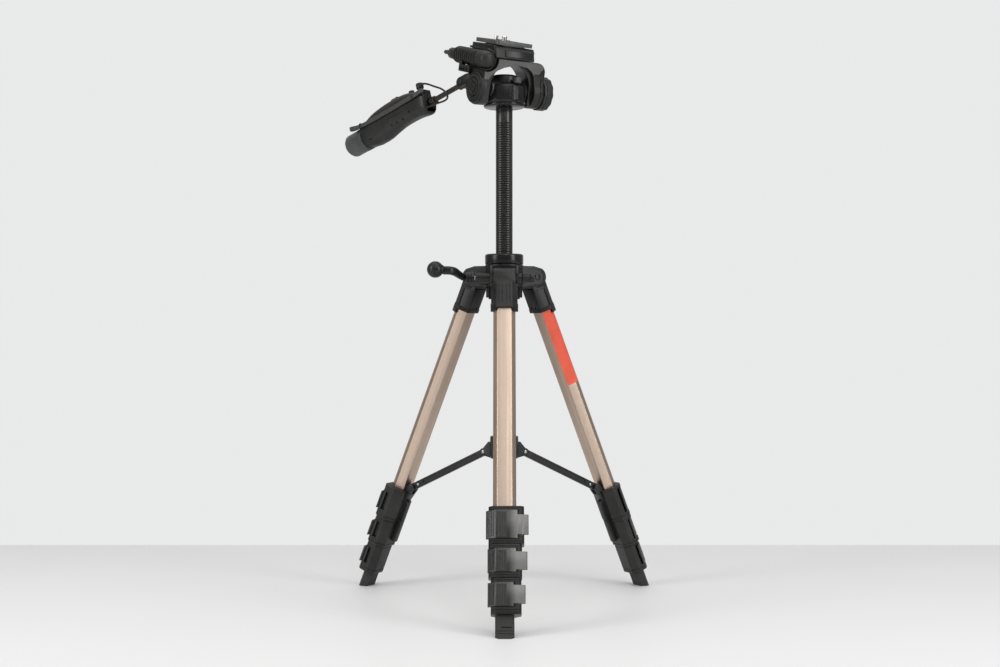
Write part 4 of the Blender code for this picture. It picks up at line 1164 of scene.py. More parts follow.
bar = cut(joined(bar, hub), rod(3.1, (-60, -33), (SHAFT_Y, SHAFT_Z), "X", 28))
bar = cut(bar, box((-50.5, -44.9), (SHAFT_Y + 3.5, 10), (360, 390)))
show(bar, "crank_bar", GLOSS, "crank", BASE, ["crank_arm"], "black_plastic")
end = moved(screw_head(2.7, 1.0), at(-45.3, SHAFT_Y, SHAFT_Z) @ turn(-90, "Y"))
show(end, "crank_screw", STEEL, "crank", BASE, (), "steel")
knob = turned(
    [(0, 9.5)] + [(9.5 * math.sin(math.radians(a)), 9.5 * math.cos(math.radians(a)))
                  for a in range(8, 150, 8)]
    + [(5.2, -8.3), (4.7, -9.2), (4.2, -9.6), (0, -9.6)],
    56,
)
knob = cut(knob, turned([(9.2, 0.3), (12, 0.3), (12, -0.3), (9.2, -0.3)], 56))
knob = moved(knob, at(*KNOB) @ turn(-90, "Y"))
show(knob, "crank_ball", GLOSS, "crank_knob", BASE, ["crank_knob"], "black_plastic")

lock = turned(
    [(0, 14.5), (3.4, 14.5), (4.1, 14.2), (4.6, 13.4), (4.6, 11.4), (5.0, 10.8),
     (5.0, 9.8), (4.5, 9.3), (4.5, 8.7), (5.0, 8.2), (5.0, 0.6), (4.5, 0.0), (2.8, 0.0),
     (2.8, -9.8), (0, -9.8)],
    48,
)
flutes = [
    rod(0.55, (0.8, 7.6), (5.25 * math.cos(2 * math.pi * k / 16),
                           5.25 * math.sin(2 * math.pi * k / 16)), sides=10)
    for k in range(16)
]
lock = moved(cut(lock, *flutes), at(20.5, SHAFT_Y, SHAFT_Z) @ turn(90, "Y"))
show(lock, "column_lock_grip", GLOSS, "column_lock_knob", BASE, ["column_lock_knob"],
     "black_plastic")

# ================================================================ HEAD
# Head frame: x along the tilt axis, +y to the rear, z up from the tilt axis.
HEAD = BASE @ at(0, 0, 593) @ turn(31, "Z")
TILTED = HEAD @ turn(14.6, "X")
dx = Vector((-0.6935, 0.6694, -0.2639)).normalized()
dy = Vector((0, 0, 1)).cross(dx).normalized()
dz = dx.cross(dy)
HANDLE = BASE @ Matrix(
    [(dx[i], dy[i], dz[i], (-46.0, 3.0, 602.0)[i] * MM) for i in range(3)]
    + [(0, 0, 0, 1)]
)
IN_TILTED = TILTED.inverted() @ HANDLE
AX, UP = -34.7, 33.0

pan = turned(
    [
        (0, 16.0), (9.8, 16.0), (10.2, 15.5), (11.4, 15.5), (11.8, 16.0), (14.4, 16.0),
        (15.6, 15.2), (16.5, 13.8), (16.6, 13.2), (16.6, 6.0), (16.1, 5.6), (16.1, 5.0),
        (17.2, 4.6), (22.6, 3.9), (23.9, 3.2), (24.7, 2.2), (25.0, 1.0),
        (25.0, -11.6), (24.6, -11.9), (24.6, -12.5), (25.0, -12.8), (25.0, -14.2),
        (24.6, -15.6), (24.0, -16.6), (23.5, -16.9), (23.5, -17.4), (24.0, -17.8),
        (24.0, -19.2), (23.6, -20.1), (22.6, -20.6), (0, -20.6),
    ],
    80,
)
rib = box((-4.5, 4.5), (-27.0, -20), (-15.5, 2.0), 1.1, 3)
pan = joined(pan, bevelled(rod(6.0, (-37.0, 43.0), axis="X", sides=40), 0.4), rib)
pan = joined(pan, bevelled(rod(13.0, (-24.2, 24.2), axis="X", sides=72), 1.2, 3, 40))
pan = cut(
    pan, rod(6.4, (-30, 1.4), sides=40),
    box((-2.4, 2.4), (-28, -26.4), (-13.5, 0.0)),
    box((-0.25, 0.25), (-30, -24.2), (-16, 3)),
)
show(pan, "pan_base_body", GLOSS, "pan_base", HEAD, ["pan_base"], "black_plastic")

key = joined(
    box((0.2, 7.0), (-27.2, -20.6), (4.8, 11.2), 0.9, 3),
    rod(2.0, (-22, -17.2), (3.6, 8.0), "Y", 24),
)
key = cut(key, rod(1.7, (-28, -26.7), (3.6, 8.0), "Y", 28),
          box((1.2, 6.0), (-25.6, -25.1), (10.9, 12)), box((1.2, 6.0), (-24.2, -23.7), (10.9, 12)))
show(key, "pan_lock_key", CAP_GREY, "pan_lock_knob", HEAD, ["pan_lock_knob"], "black_plastic")

# yoke: the arch with its rounded edges, both cheeks and the ringed disc
arch = plate(
    [(-38.2, -1), (-25.9, -1), (-25.9, 9)] + arc(25.9, (0, 4.5), 170, 10, 40)
    + [(25.9, 9), (25.9, -1), (42.6, -1), (42.6, 22)] + arc(11, (31.6, 24.5), 0, 90, 12)
    + arc(11, (-27.2, 24.5), 90, 180, 12) + [(-38.2, 22)],
    (-15.5, 15.5), "Y",
)
arch = bevelled(arch, 1.1, 3, 40)
left_cheek = bevelled(rod(19.5, (-38.4, -26.2), axis="X", sides=72), 0.9, 3, 40)
right_cheek = bevelled(rod(18.5, (26.2, 43.0), axis="X", sides=72), 0.9, 3, 40)
rings = [(0, 3.7), (1.3, 3.7), (1.6, 4.3), (3.4, 4.8), (4.6, 4.6), (5.1, 4.0), (5.3, 3.3),
         (6.0, 3.3), (6.3, 4.0), (7.2, 4.7), (8.8, 4.8), (9.8, 4.4), (10.3, 3.6),
         (10.5, 2.9), (11.3, 2.9), (11.5, 3.7), (12.4, 4.5), (13.8, 4.5), (14.8, 4.0),
         (15.2, 3.3), (15.4, 2.7), (16.1, 2.7), (16.3, 3.2), (17.2, 3.2), (18.0, 2.7),
         (18.5, 1.7), (18.5, 0.0), (0, 0.0)]
disc = moved(turned(rings, 80), at(-38.1, 0, 0) @ turn(-90, "Y"))
ears = [
    bevelled(plate(capsule((-11, 0), (0, 0), 5.6, 20), s, "Y"), 0.5, 2, 40)
    for s in ((-8.4, -5.8), (5.8, 8.4))
]
fork = joined(box((-17, -6.2), (-8.2, 8.2), (-5.3, 5.3), 0.8), *ears)
fork = moved(fork, IN_TILTED)
bracket = box((-43.6, -28.5), (13.0, 37.5), (14.8, 27.0), 1.2, 3)
yoke = joined(arch, left_cheek, right_cheek, disc, fork, bracket)
yoke = cut(
    yoke,
    rod(6.3, (-37.4, 60), axis="X", sides=40),
    rod(13.4, (-60, 30.4), (AX, UP), "Y", 56),
    rod(10.5, (30.0, 60), (AX, UP), "Y", 56),
    # a weight-saving pocket and its holes on the bracket's outer side
    box((-50, -42.6), (16.5, 34.0), (16.6, 19.0)),
    rod(1.5, (-50, -38), (19.4, 17.8), "X", 24),
    rod(1.5, (-50, -38), (26.0, 17.8), "X", 24),
    rod(1.5, (-50, -38), (31.6, 17.8), "X", 24),
    # the arch's front face narrows to a crescent down its left side
    plate(
        [(-37.2, -30), (-37.0, -8), (-35.7, 0), (-34.4, 5.6), (-32.2, 11.2), (-28.0, 16.8),
         (-21.4, 21.8), (-13.5, 25.6), (-3.3, 28.4), (7.2, 29.4), (18.0, 28.2),
         (24.0, 24.6), (27.6, 19.5), (29.6, 12.0), (30.4, 0), (30.4, -30)],
        (-30, -11.4), "Y",
    ),
    # a fine line round the right cheek, beside the knob
    plate(circle(25, n=48), (38.2, 38.9), "X", holes=[circle(18.0, n=72)]),
)
# painted highlight: a thin lighter-grey sheet over the rim of the arch's front face stands in for the light on it
band = plate(
    [(-37.6, -1), (-37.6, 22)] + arc(10.4, (-27.2, 24.5), 180, 90, 12)
    + arc(10.4, (31.6, 24.5), 90, 30, 10) + [(36.6, 26.0), (30.4, 10.0), (30.4, -1)],
    (-16.1, -15.2), "Y",
)
band = combined(band, (
    plate(
        [(-37.2, -30), (-36.6, -1.5), (-35.4, 1), (-34.1, 5.9), (-31.9, 11.5), (-27.7, 17.1),
         (-21.1, 22.1), (-13.3, 25.9), (-3.1, 28.7), (7.3, 29.7), (18.1, 28.5),
         (24.3, 24.9), (27.9, 19.7), (29.9, 12.0), (30.8, 0), (30.8, -30)],
        (-30, -11.4), "Y",
    ),
    box((28.0, 45), (-20, -10), (-20, 22.5)),
    rod(13.6, (-60, 30.4), (AX, UP), "Y", 56),
), "DIFFERENCE", "MANIFOLD")
show(band, "arch_front_painted_highlight", SATIN_GREY, "tilt_head", TILTED, (), "black_plastic")
show(yoke, "yoke_body", BLACK, "tilt_head", TILTED, ["tilt_yoke"], "black_plastic")
pin = moved(
    joined(rod(1.6, (-7.0, 7.0), (0, 0), "Y", 24),
           *[bevelled(rod(2.9, s, (0, 0), "Y", 32), 0.35) for s in ((8.1, 9.1), (-9.1, -8.1))]),
    IN_TILTED,
)
show(pin, "handle_pivot_pin", GLOSS, "tilt_head", TILTED, (), "steel")
yoke_screws = []
for y, z in ((-9.5, 29.4), (9.5, 29.4)):
    s = screw_head(1.9, 0.7)
    yoke_screws.append(moved(s, at(42.5, y, z - 3.4) @ turn(90, "Y")))
show(joined(*yoke_screws), "yoke_screws", GLOSS, "tilt_head", TILTED, (), "steel")

# tilt lock knob: broad scallops, fine grip ribs and a dished face
outline = []
for k in range(216):
    a = 2 * math.pi * k / 216
    wide = math.cos(12 * a)
    fine = 0.10 * (1 if k % 3 else -1)
    outline.append(((19.35 + 0.35 * wide + fine) * math.cos(a),
                    (19.35 + 0.35 * wide + fine) * math.sin(a)))
knob = bevelled(plate(outline, (44.2, 55.5), "X"), 1.4, 3, 60)
collar_ring = rod(17.4, (43.3, 45.0), axis="X", sides=72)
knob = joined(knob, collar_ring)
knob = cut(
    knob, rod(6.4, (40, 46), axis="X", sides=40),
    moved(
        turned([(12.6, 2.0), (12.6, -0.9), (5.0, -0.9), (5.0, 2.0)], 72),
        at(55.5, 0, 0) @ turn(90, "Y"),
    ),
    plate(circle(30, n=48), (47.3, 47.9), "X", holes=[circle(18.5, n=72)]),
)
show(knob, "tilt_lock_grip", GREY, "tilt_lock_knob", TILTED, ["tilt_lock_knob"], "grey_plastic")
cap = moved(
    turned([(0, 0.9), (3.2, 0.85), (4.4, 0.5), (4.8, 0.0), (4.8, -1.2), (0, -1.2)], 48),
    at(55.0, 0, 0) @ turn(90, "Y"),
)
show(cap, "tilt_lock_cap", GLOSS, "tilt_lock_knob", TILTED, (), "grey_plastic")

# platform: a dished deck with a front panel, the shoe's pocket and a saddle
deck = plate([(-16.0, 36.0), (42.7, 36.0), (42.7, 50.0), (-11.0, 50.0)], (-26.5, 27.0), "X")
deck = bevelled(deck, 2.0, 4, 40)
saddle = bevelled(rod(12.8, (-12.5, 30.0), (AX, UP), "Y", 72), 0.8, 3, 40)
saddle = cut(saddle, box((-60, AX - 1.0), (-60, 60), (0, 60)))
web = box((AX + 8, -14.0), (-12.5, 30.0), (37.0, 43.6), 0.6)
deck = joined(deck, saddle, web)
nose = math.degrees(math.atan2(5.0, 14.0))
panel = moved(
    box((-13.5, 24.2), (-3, 0.55), (-4.6, 3.6), 0.5), at(0, -13.9, 42.6) @ turn(-nose, "X")
)
deck = cut(
    deck,
    rod(10.5, (-60, 60), (AX, UP), "Y", 56),
    box((-17.4, 17.4), (-8.4, 31.0), (45.7, 60)),
    box((-4.2, 4.2), (30.0, 37.4), (45.7, 60)),
    panel,
    # a fine joint all round, and finger scallops in the rear edge
    plate([(-60, -60), (60, -60), (60, 60), (-60, 60)], (47.4, 47.9),
          holes=[rounded([(-26.1, -11.6), (26.6, -11.6), (26.6, 42.3), (-26.1, 42.3)], 2, 4)]),
    *[box((-19 + 4.2 * k, -17.2 + 4.2 * k), (41.9, 44), (37.8, 46.2)) for k in range(10)],
    *[box((26.5, 28), (26.2 + 2.6 * k, 27.5 + 2.6 * k), (38.2, 46.2)) for k in range(6)],
)
show(deck, "platform_body", BLACK, "platform", TILTED, ["camera_platform"], "black_plastic")
plain = moved(
    bevelled(
        plate(rounded([(-13.2, -4.3), (23.9, -4.3), (23.9, 3.3), (-13.2, 3.3)], 1.0, 4),
              (-0.45, 0.45), "Y"),
        0.2,
    ),
    at(0, -13.9, 42.6) @ turn(-nose, "X"),
)
show(plain, "platform_front_panel", GLOSS, "platform", TILTED, (), "black_plastic")
jaw = joined(
    box((-17.2, -16.2), (-6, 29), (48.2, 50.5), 0.3), box((16.2, 17.2), (-6, 29), (48.2, 50.5), 0.3)
)
show(jaw, "shoe_jaws", GLOSS, "platform", TILTED, (), "steel")

# side-tilt lock: a barrel of rounded ribs with a domed end, a neck and a stem
SET_BACK = 3.5
ribs = [(0, 0.0), (3.4, -0.2), (6.2, -0.9), (8.2, -2.3), (9.4, -4.2), (10.0, -6.4),
        (10.1, -8.0), (9.6, -8.6), (9.6, -9.3), (10.1, -9.9), (10.1, -20.6), (9.0, -21.4)]
y = -22.6
while y > -73.5:
    ribs += [(7.9, y), (7.9, y - 1.3), (9.3, y - 1.6), (9.95, y - 2.3), (9.95, y - 3.3),
             (9.3, y - 4.0)]
    y -= 5.1
ribs += [(7.9, y), (7.9, y - 0.4), (8.2, -78.0), (7.4, -79.0), (6.6, -79.2), (6.6, -82.0),
         (6.1, -82.4), (6.1, -83.2), (6.6, -83.6), (6.6, -90.6), (6.0, -91.6), (5.0, -92.2),
         (2.9, -92.6), (2.6, -94.2), (2.6, -106.8), (2.2, -108.2), (1.2, -109.0), (0, -109.0)]
barrel = turned(ribs, 72)
flats = [
    moved(rod(1.1, (-20.2, -10.6), (10.75, 0), sides=16), turn(20 * k, "Z"))
    for k in range(18)
]
barrel = cut(barrel, *flats)
barrel = moved(barrel, at(AX, -22.0 + SET_BACK, UP) @ turn(90, "X"))
show(barrel, "side_lock_barrel", GREY, "side_lock_handle", TILTED, ["side_lock_handle"],
     "grey_plastic")

# quick shoe: a thin plate with a ribbed pad, tapered at its front
shoe = plate(
    rounded([(-24, -12), (24, -12), (24, 39.5), (-24, 39.5)], [3.2, 3.2, 2.2, 2.2], 6),
    (51.0, 55.7),
)
shoe = bevelled(shoe, 1.2, 3, 40)
skirt = bevelled(
    plate(rounded([(-19.5, -9.6), (19.5, -9.6), (19.5, 33.5), (-19.5, 33.5)], 2, 4),
          (50.9, 52.4)), 0.3,
)
block = bevelled(
    plate([(-17.0, 46.0), (17.0, 46.0), (14.2, 52.2), (-14.2, 52.2)], (-8.0, 30.6), "Y"), 0.4
)
shoe = joined(shoe, skirt, block, rod(3.7, (46.2, 53.0), (0, 33.0), sides=40))
shoe = cut(
    shoe, rod(3.6, (40, 60), (0, 14.6), sides=40), rod(6.6, (44, 51.0), (0, 14.6), sides=48),
    rod(2.5, (47.2, 60), (0, 33.0), sides=32),
    box((-21.9, 21.9), (-9.9, 37.4), (55.2, 57)),
)
# painted highlight: the black plastic shoe plate takes the lighter grey for the light on its sides
show(shoe, "shoe_plate", SATIN_GREY, "quick_shoe", TILTED, ["quick_shoe"], "black_plastic")
pad = plate(
    rounded([(-21.7, -9.7), (21.7, -9.7), (21.7, 37.2), (-21.7, 37.2)], 2.2, 6),
    (55.1, 56.0), holes=[circle(4.6, (0, 14.6), 40), circle(3.0, (0, 33.0), 32)],
)
pad = bevelled(pad, 0.2, 2, 50)
strips = []
for k in range(15):
    yy = -7.6 + 3.05 * k
    for a, b in ((-20.2, -5.8), (5.8, 20.2)):
        strips.append(box((a, b), (yy, yy + 1.5), (55.7, 56.4), 0.2))
for yy in (-7.6, -4.55, -1.5, 1.55, 22.9, 25.95):
    strips.append(box((-5.0, 5.0), (yy, yy + 1.5), (55.7, 56.4), 0.2))
# the pad's light greenish grey is a painted highlight
show(joined(pad, *strips), "shoe_pad", PAD, "quick_shoe", TILTED, (), "black_plastic")

thread = [(0, 61.0), (2.3, 61.0), (2.9, 60.5)]
z = 60.2
while z > 51.4:
    thread += [(3.15, z), (3.15, z - 0.25), (2.72, z - 0.65), (2.72, z - 0.8)]
    z -= 1.1
thread += [(3.15, 50.6), (5.8, 50.6), (6.2, 50.2), (6.2, 46.8), (5.8, 46.4), (0, 46.4)]
screw = moved(turned(thread, 48), at(0, 14.6, 0))
screw = cut(screw, box((-6.6, 6.6), (13.8, 15.4), (46, 47.6)))
show(screw, "camera_screw_thread", STEEL, "camera_screw", TILTED, ["camera_screw"], "steel")

# release lever: a curved thumb piece with grip lines
release = plate(
    rounded(
        [(28.6, -4.5), (31.5, -4.5), (33.0, -1.0), (33.6, 16.0), (31.8, 24.0),
         (29.4, 24.0), (29.0, 18.0), (27.4, 15.0), (27.4, 0.0)], 1.0, 4),
    (38.2, 47.0),
)
release = bevelled(release, 0.9, 3, 40)
release = cut(
    release, *[box((33.0, 35), (4.0 + 2.2 * k, 4.9 + 2.2 * k), (39.6, 45.6)) for k in range(6)]
)
show(release, "shoe_release_thumb", GREY, "shoe_release", TILTED, ["shoe_release_lever"],
     "grey_plastic")

# ================================================================ PAN HANDLE
# Handle frame: x along the rod away from the head, +y the outer side, z up.
SPLIT = 8.0


def along_line(points, x):
    for (xa, va), (xb, vb) in zip(points, points[1:]):
        if xa <= x <= xb:
            t = (x - xa) / (xb - xa) if xb > xa else 0
            t = t * t * (3 - 2 * t) if abs(vb - va) > 6 else t
            return va + (vb - va) * t
    return points[-1][1] if x > points[-1][0] else points[0][1]


bar = joined(
    rod(3.1, (2.0, 168.0), (0, 0), "X", 40),
    bevelled(rod(5.4, (1.0, 9.0), (0, 0), "X", 48), 0.7, 3, 40),
    bevelled(
        plate([(4.5, -5.0), (4.5, 5.0)] + arc(5.0, (0, 0), 90, 270, 24), (-5.4, 5.4), "Y"), 0.4
    ),
    bevelled(rod(5.0, (51.0, 59.0), (0, -0.4), "X", 48), 0.6, 3, 40),
)
bar = cut(
    bar, rod(1.9, (-10, 10), (0, 0), "Y", 32),
    plate(circle(9, n=40), (6.4, 6.9), "X", holes=[circle(4.9, n=48)]),
    plate(circle(9, (0, -0.4), n=40), (53.2, 53.8), "X", holes=[circle(4.5, (0, -0.4), n=48)]),
    plate(circle(9, (0, -0.4), n=40), (56.2, 56.8), "X", holes=[circle(4.5, (0, -0.4), n=48)]),
)
show(bar, "handle_rod", HANDLE_ROD, "pan_handle", HANDLE, ["pan_handle_rod"], "black_metal")


def shell(xs, edge, height, width, n=2.5, sides=36):
    """A half shell lofted along x: flat on z = edge, bulging to height(x)."""
    sections = []
    for x in xs:
        h, w = height(x), width(x)
        ring = []
        for k in range(sides + 1):
            t = math.pi * k / sides
            c, s = math.cos(t), math.sin(t)
            ring.append((
                x, w * math.copysign(abs(c) ** (2 / n), c), edge + h * abs(s) ** (2 / n)
            ))
        sections.append(ring)
    return loft(sections)


TOP = [(76, 13.0), (78, 18.6), (81, 20.8), (87, 23.0), (96, 24.8), (105, 25.8), (117, 26.2),
       (129, 26.0), (140, 25.2), (151, 23.8), (158, 22.0), (163, 20.0), (168, 17.0),
       (173, 13.4), (177, 10.6), (182, 9.0)]
LOW = [(60, -10.0), (61, -12.2), (63, -13.4), (66, -13.8), (73, -12.8), (81, -11.4),
       (90, -10.8), (98, -10.6), (107, -10.7), (115, -11.2), (124, -12.7), (133, -14.6),
       (140, -16.0), (147, -16.8), (160, -16.8), (172, -15.0), (182, -13.6)]
WIDE = [(60, 9.2), (61.5, 10.6), (64, 11.7), (70, 12.4), (80, 12.8), (95, 13.0),
        (115, 13.2), (140, 13.5), (165, 13.5), (182, 13.4)]
TOP_WIDE = [(76, 9.6), (77.5, 11.2), (80, 12.2), (86, 12.8), (100, 13.1), (140, 13.5),
            (182, 13.4)]
xs = [76.2, 77, 78, 79.5, 81.5, 84, 88, 92] + [96 + 4.3 * k for k in range(20)] + [181.7]
upper = shell(xs, SPLIT + 0.15, lambda x: along_line(TOP, x) - SPLIT - 0.15,
              lambda x: along_line(TOP_WIDE, x), 2.35)
upper = cut(
    upper,
    box((84.0, 93.0), (-4.8, 4.8), (13.8, 30)),
    box((108.0, 124.0), (-4.5, 4.5), (17.0, 30)),
    plate(rounded([(82, -7.2), (127, -7.2), (127, 7.2), (82, 7.2)], 4, 8), (25.6, 40),
          holes=[rounded([(82.6, -6.6), (126.4, -6.6), (126.4, 6.6), (82.6, 6.6)], 3.6, 8)]),
    # joint between the remote's panel and the grip
    moved(box((-0.3, 0.3), (-20, 20), (-0.8, 30)), at(130, 0, 20.5) @ turn(12, "Y")),
    *[moved(box((-0.35, 0.35), (-20, 20), (0, 9)), at(x, 0, along_line(TOP, x) - 0.5))
      for x in (140, 143, 146, 149, 152, 155)],
)
xs = [60.2, 60.8, 61.6, 63, 65, 68, 72, 77] + [82 + 4.1 * k for k in range(24)] + [181.7]
lower = shell(xs, SPLIT - 0.15, lambda x: along_line(LOW, x) - SPLIT + 0.15,
              lambda x: along_line(WIDE, x), 2.9)
holder = bevelled(
    plate(rounded([(61.8, -6.3), (75.2, -6.3), (75.2, 9.3), (61.8, 9.3)], 2.4, 6), (4.0, 16.4)),
    0.8, 3, 40,
)
lower = joined(lower, holder)
holes = [
    rod(1.25, (8.0, 20.0), (x, z), "Y", 24)
    for x, z in ((163.1, -9.3), (121.4, -7.2), (111.9, -6.8), (101.7, -6.7), (87.9, -2.7))
]
lower = cut(
    lower,
    rod(5.4, (50, 70), (0, 0), "X", 40),
    rod(3.4, (50, 172), (0, 0), "X", 32),
    rod(3.8, (9.0, 40), (70.0, 3.0), sides=36),
    # the open hollow under the nose
    moved(
        bevelled(plate(rounded([(-6.6, -3.4), (6.6, -3.4), (6.6, 3.0), (-6.6, 3.0)], 2.8, 8),
                       (-9, 9), "X"), 0.2),
        at(61.0, 0.5, -8.2),
    ),
    # a long groove under the parting line, and one round the plug's holder
    box((84, 128), (12.4, 16), (1.6, 2.3)),
    plate(circle(20, (68.5, 1.5), n=8), (12.6, 13.2),
          holes=[rounded([(62.3, -5.8), (74.7, -5.8), (74.7, 8.8), (62.3, 8.8)], 2.2, 6)]),
    *holes,
)
show(upper, "grip_upper", BROWNISH, "pan_handle", HANDLE, ["grip_upper_shell"], "black_plastic")
show(lower, "grip_lower", GREY, "pan_handle", HANDLE, ["grip_lower_shell"], "grey_plastic")
screws = [
    moved(screw_head(1.15, 0.5), at(x, 10.2, z) @ turn(-90, "X"))
    for x, z in ((163.1, -9.3), (121.4, -7.2), (111.9, -6.8), (101.7, -6.7), (87.9, -2.7))
]
show(joined(*screws), "grip_screws", GLOSS, "pan_handle", HANDLE, (), "steel")

# end cap: broad flats with rounded corners between them, domed at the end
outline = []
for k in range(180):
    a = 2 * math.pi * k / 180
    r = 14.0 + 0.32 * abs(math.sin(7.5 * a)) ** 0.5 * 1.0
    outline.append((r * math.cos(a), -0.8 + r * math.sin(a)))
end_cap = plate(outline, (184.0, 206.6), "X")
dome = moved(
    turned(
        [(0, 29.6), (6, 29.4), (9.4, 28.8), (11.6, 27.7), (13.0, 26.2), (13.8, 24.2),
         (13.9, 22), (13.9, 2.4), (13.6, 1.6), (13.6, 0.0), (0, 0.0)], 72),
    at(182.4, 0, -0.8) @ turn(90, "Y"),
)
end_cap = bevelled(end_cap, 0.7, 2, 50)
sleeve = [(y * 1.028, (z + 0.8) * 1.028 - 0.8) for y, z in outline]
sleeve = bevelled(plate(sleeve, (177.2, 185.4), "X"), 0.6, 2, 50)
end_cap = joined(end_cap, dome, sleeve)
end_cap = cut(
    end_cap,
    moved(turned([(8.6, 1.0), (8.6, -0.5), (8.0, -0.5), (8.0, 1.0)], 64),
          at(211.9, 0, -0.8) @ turn(90, "Y")),
)
show(end_cap, "grip_end", CAP_GREY, "pan_handle", HANDLE, ["grip_end_cap"], "grey_plastic")

# remote control: round button and rocker with ridges
button = turned(
    [(0, 25.2), (2.2, 25.3), (3.0, 25.6), (3.4, 25.3), (3.6, 24.8), (3.6, 19.0), (2.0, 19.0),
     (2.0, 16.0), (0, 16.0)], 48)
show(moved(button, at(88.5, 0, 0)), "record_button_top", GREY, "record_button", HANDLE,
     ["record_button"], "grey_plastic")
rocker = plate(
    rounded(
        [(109.0, 21.0), (112.0, 19.6), (120.0, 19.6), (123.0, 21.0), (123.0, 26.4),
         (120.0, 27.2), (116.0, 26.8), (112.0, 27.2), (109.0, 26.4)], 1.0, 4),
    (-4.0, 4.0), "Y",
)
rocker = bevelled(rocker, 0.5, 2, 50)
rocker = cut(rocker, *[
    moved(box((-0.3, 0.3), (-3.2, 3.2), (-0.4, 3)), at(x, 0, 26.9))
    for x in (110.6, 112.0, 113.4, 118.6, 120.0, 121.4)
])
show(rocker, "zoom_rocker_top", GREY, "zoom_rocker", HANDLE, ["zoom_rocker"], "grey_plastic")

# cable: plug parked in its holder, two loops forwards beside the rod
plug = turned(
    [(0, 27.6), (3.0, 27.6), (4.1, 27.2), (4.6, 26.3), (4.6, 24.9), (4.2, 24.5), (4.2, 24.0),
     (4.6, 23.6), (4.6, 21.4), (4.1, 20.6), (3.4, 20.6), (3.4, 19.0), (3.0, 18.7),
     (3.0, 18.1), (3.4, 17.8), (3.4, 12.5), (2.9, 12.0), (0, 12.0)], 48)
plug = moved(plug, at(70.0, 3.0, 0))
boot = swept(
    [(q[0], q[1], q[2], 2.3 - 1.3 * i / 9) for i, q in
     enumerate(smooth_path([(69, 3.0, 24.3), (65.4, 3.2, 24.6), (61.4, 3.6, 23.7)], 5)[:10])],
    1.2, 6,
)
loop = swept(
    smooth_path(
        [
            (67, 3.0, 24.5), (63, 3.4, 24.4), (54, 4.6, 19.8), (43, 7.0, 12.4),
            (30, 8.6, 3.4), (24.0, 8.4, -4.6), (24.6, 7.6, -9.6), (30, 7.4, -11.0),
            (42, 7.0, -9.4), (56, 6.5, -7.6), (62.6, 6.4, -7.0),
        ],
        8,
    ),
    1.15, 6,
)
show(joined(plug, boot, loop), "remote_cable_loop", CABLE, "pan_handle", HANDLE,
     ["remote_cable"], "cable_sheath")

# wrist strap: a flat band on lugs along the outer side, looped at both ends
line = smooth_path(
    [(57.0, 12.6, 13.0), (62, 14.2, 12.2), (75, 14.9, 11.0), (100, 14.9, 10.4),
     (133, 15.0, 10.2), (165, 15.3, 10.4), (178, 15.8, 11.4), (186, 16.4, 13.0),
     (192, 15.0, 14.4), (193.6, 12.4, 14.8), (191, 10.2, 14.4), (184, 10.6, 13.4),
     (177, 13.0, 12.0), (173, 14.6, 10.9)],
    8,
)
sections = []
for i, q in enumerate(line):
    q = Vector(q)
    d = (Vector(line[min(i + 1, len(line) - 1)]) - Vector(line[max(i - 1, 0)])).normalized()
    side = Vector((0, 0, 1))
    side = (side - d * side.dot(d)).normalized()
    out = d.cross(side)
    w, t = 2.6, 0.65
    ring = []
    for k in range(16):
        a = 2 * math.pi * k / 16
        c, s = math.cos(a), math.sin(a)
        ring.append(q + side * w * math.copysign(abs(c) ** 0.45, c)
                    + out * t * math.copysign(abs(s) ** 0.6, s))
    sections.append(ring)
strap = loft(sections)
show(strap, "wrist_strap_band", STRAP, "pan_handle", HANDLE, ["wrist_strap"], "strap_rubber")
tie = box((72.5, 76.0), (12.0, 16.4), (7.6, 14.6), 0.7, 2)
tie2 = box((170.0, 173.2), (12.6, 16.9), (7.6, 14.2), 0.7, 2)
show(joined(tie, tie2), "wrist_strap_ties", GREY, "pan_handle", HANDLE, (), "strap_rubber")

# nodes kept from the frame get their surface and slightly rounded edges
for name, material, width in (
    ("video_pin", STEEL, 0.3), ("crank_shaft", STEEL, 0.1),
):
    node = frame["nodes"][name]
    node.data.materials.clear()
    node.data.materials.append(material)
    m = node.modifiers.new("Edges", "BEVEL")
    m.width, m.segments, m.limit_method = width * MM, 2, "ANGLE"
    m.angle_limit = math.radians(40)

# ================================================================ STAGE
base = BASE.translation


def painted_floor():
    s = Shader("pale_floor")
    speck = s.noise(140, detail=6, rough=0.7)
    cloud = s.noise(2.2, detail=4, shift=4)
    parts = s.node("ShaderNodeSeparateXYZ")
    s.put(parts.inputs[0], s.coords)
    # painted shade: the floor's colour darkens from front to back, where less light reaches it
    near = s.span(parts.outputs["Y"], -0.9, 0.41, 1.0, 0.0)
    base_colour = s.mix(near, (0.765, 0.765, 0.765), (0.905, 0.905, 0.905))
    base_colour = s.mix(s.span(cloud, 0.3, 0.7, 0.0, 0.5), base_colour,
                        (0.84, 0.84, 0.838))
    s.set(Base_Color=base_colour, Roughness=s.span(cloud, 0.3, 0.7, 0.5, 0.6),
          Normal=s.bump(speck, 0.12, 0.15))
    s.bsdf.inputs["Specular IOR Level"].default_value = 0.3
    return s.material


floor = box((-3000, 3000), (-2600, 410), (-12, 0), 0.0, name="floor")
floor.data.materials.append(painted_floor())
floor.matrix_world = Matrix.Translation((base.x, base.y, 0))
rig.stage(floor)

world = bpy.data.worlds.new("studio")
bpy.context.scene.world = world
world.use_nodes = True
tree = world.node_tree
tree.nodes.clear()


def wnode(kind):
    return tree.nodes.new(kind)


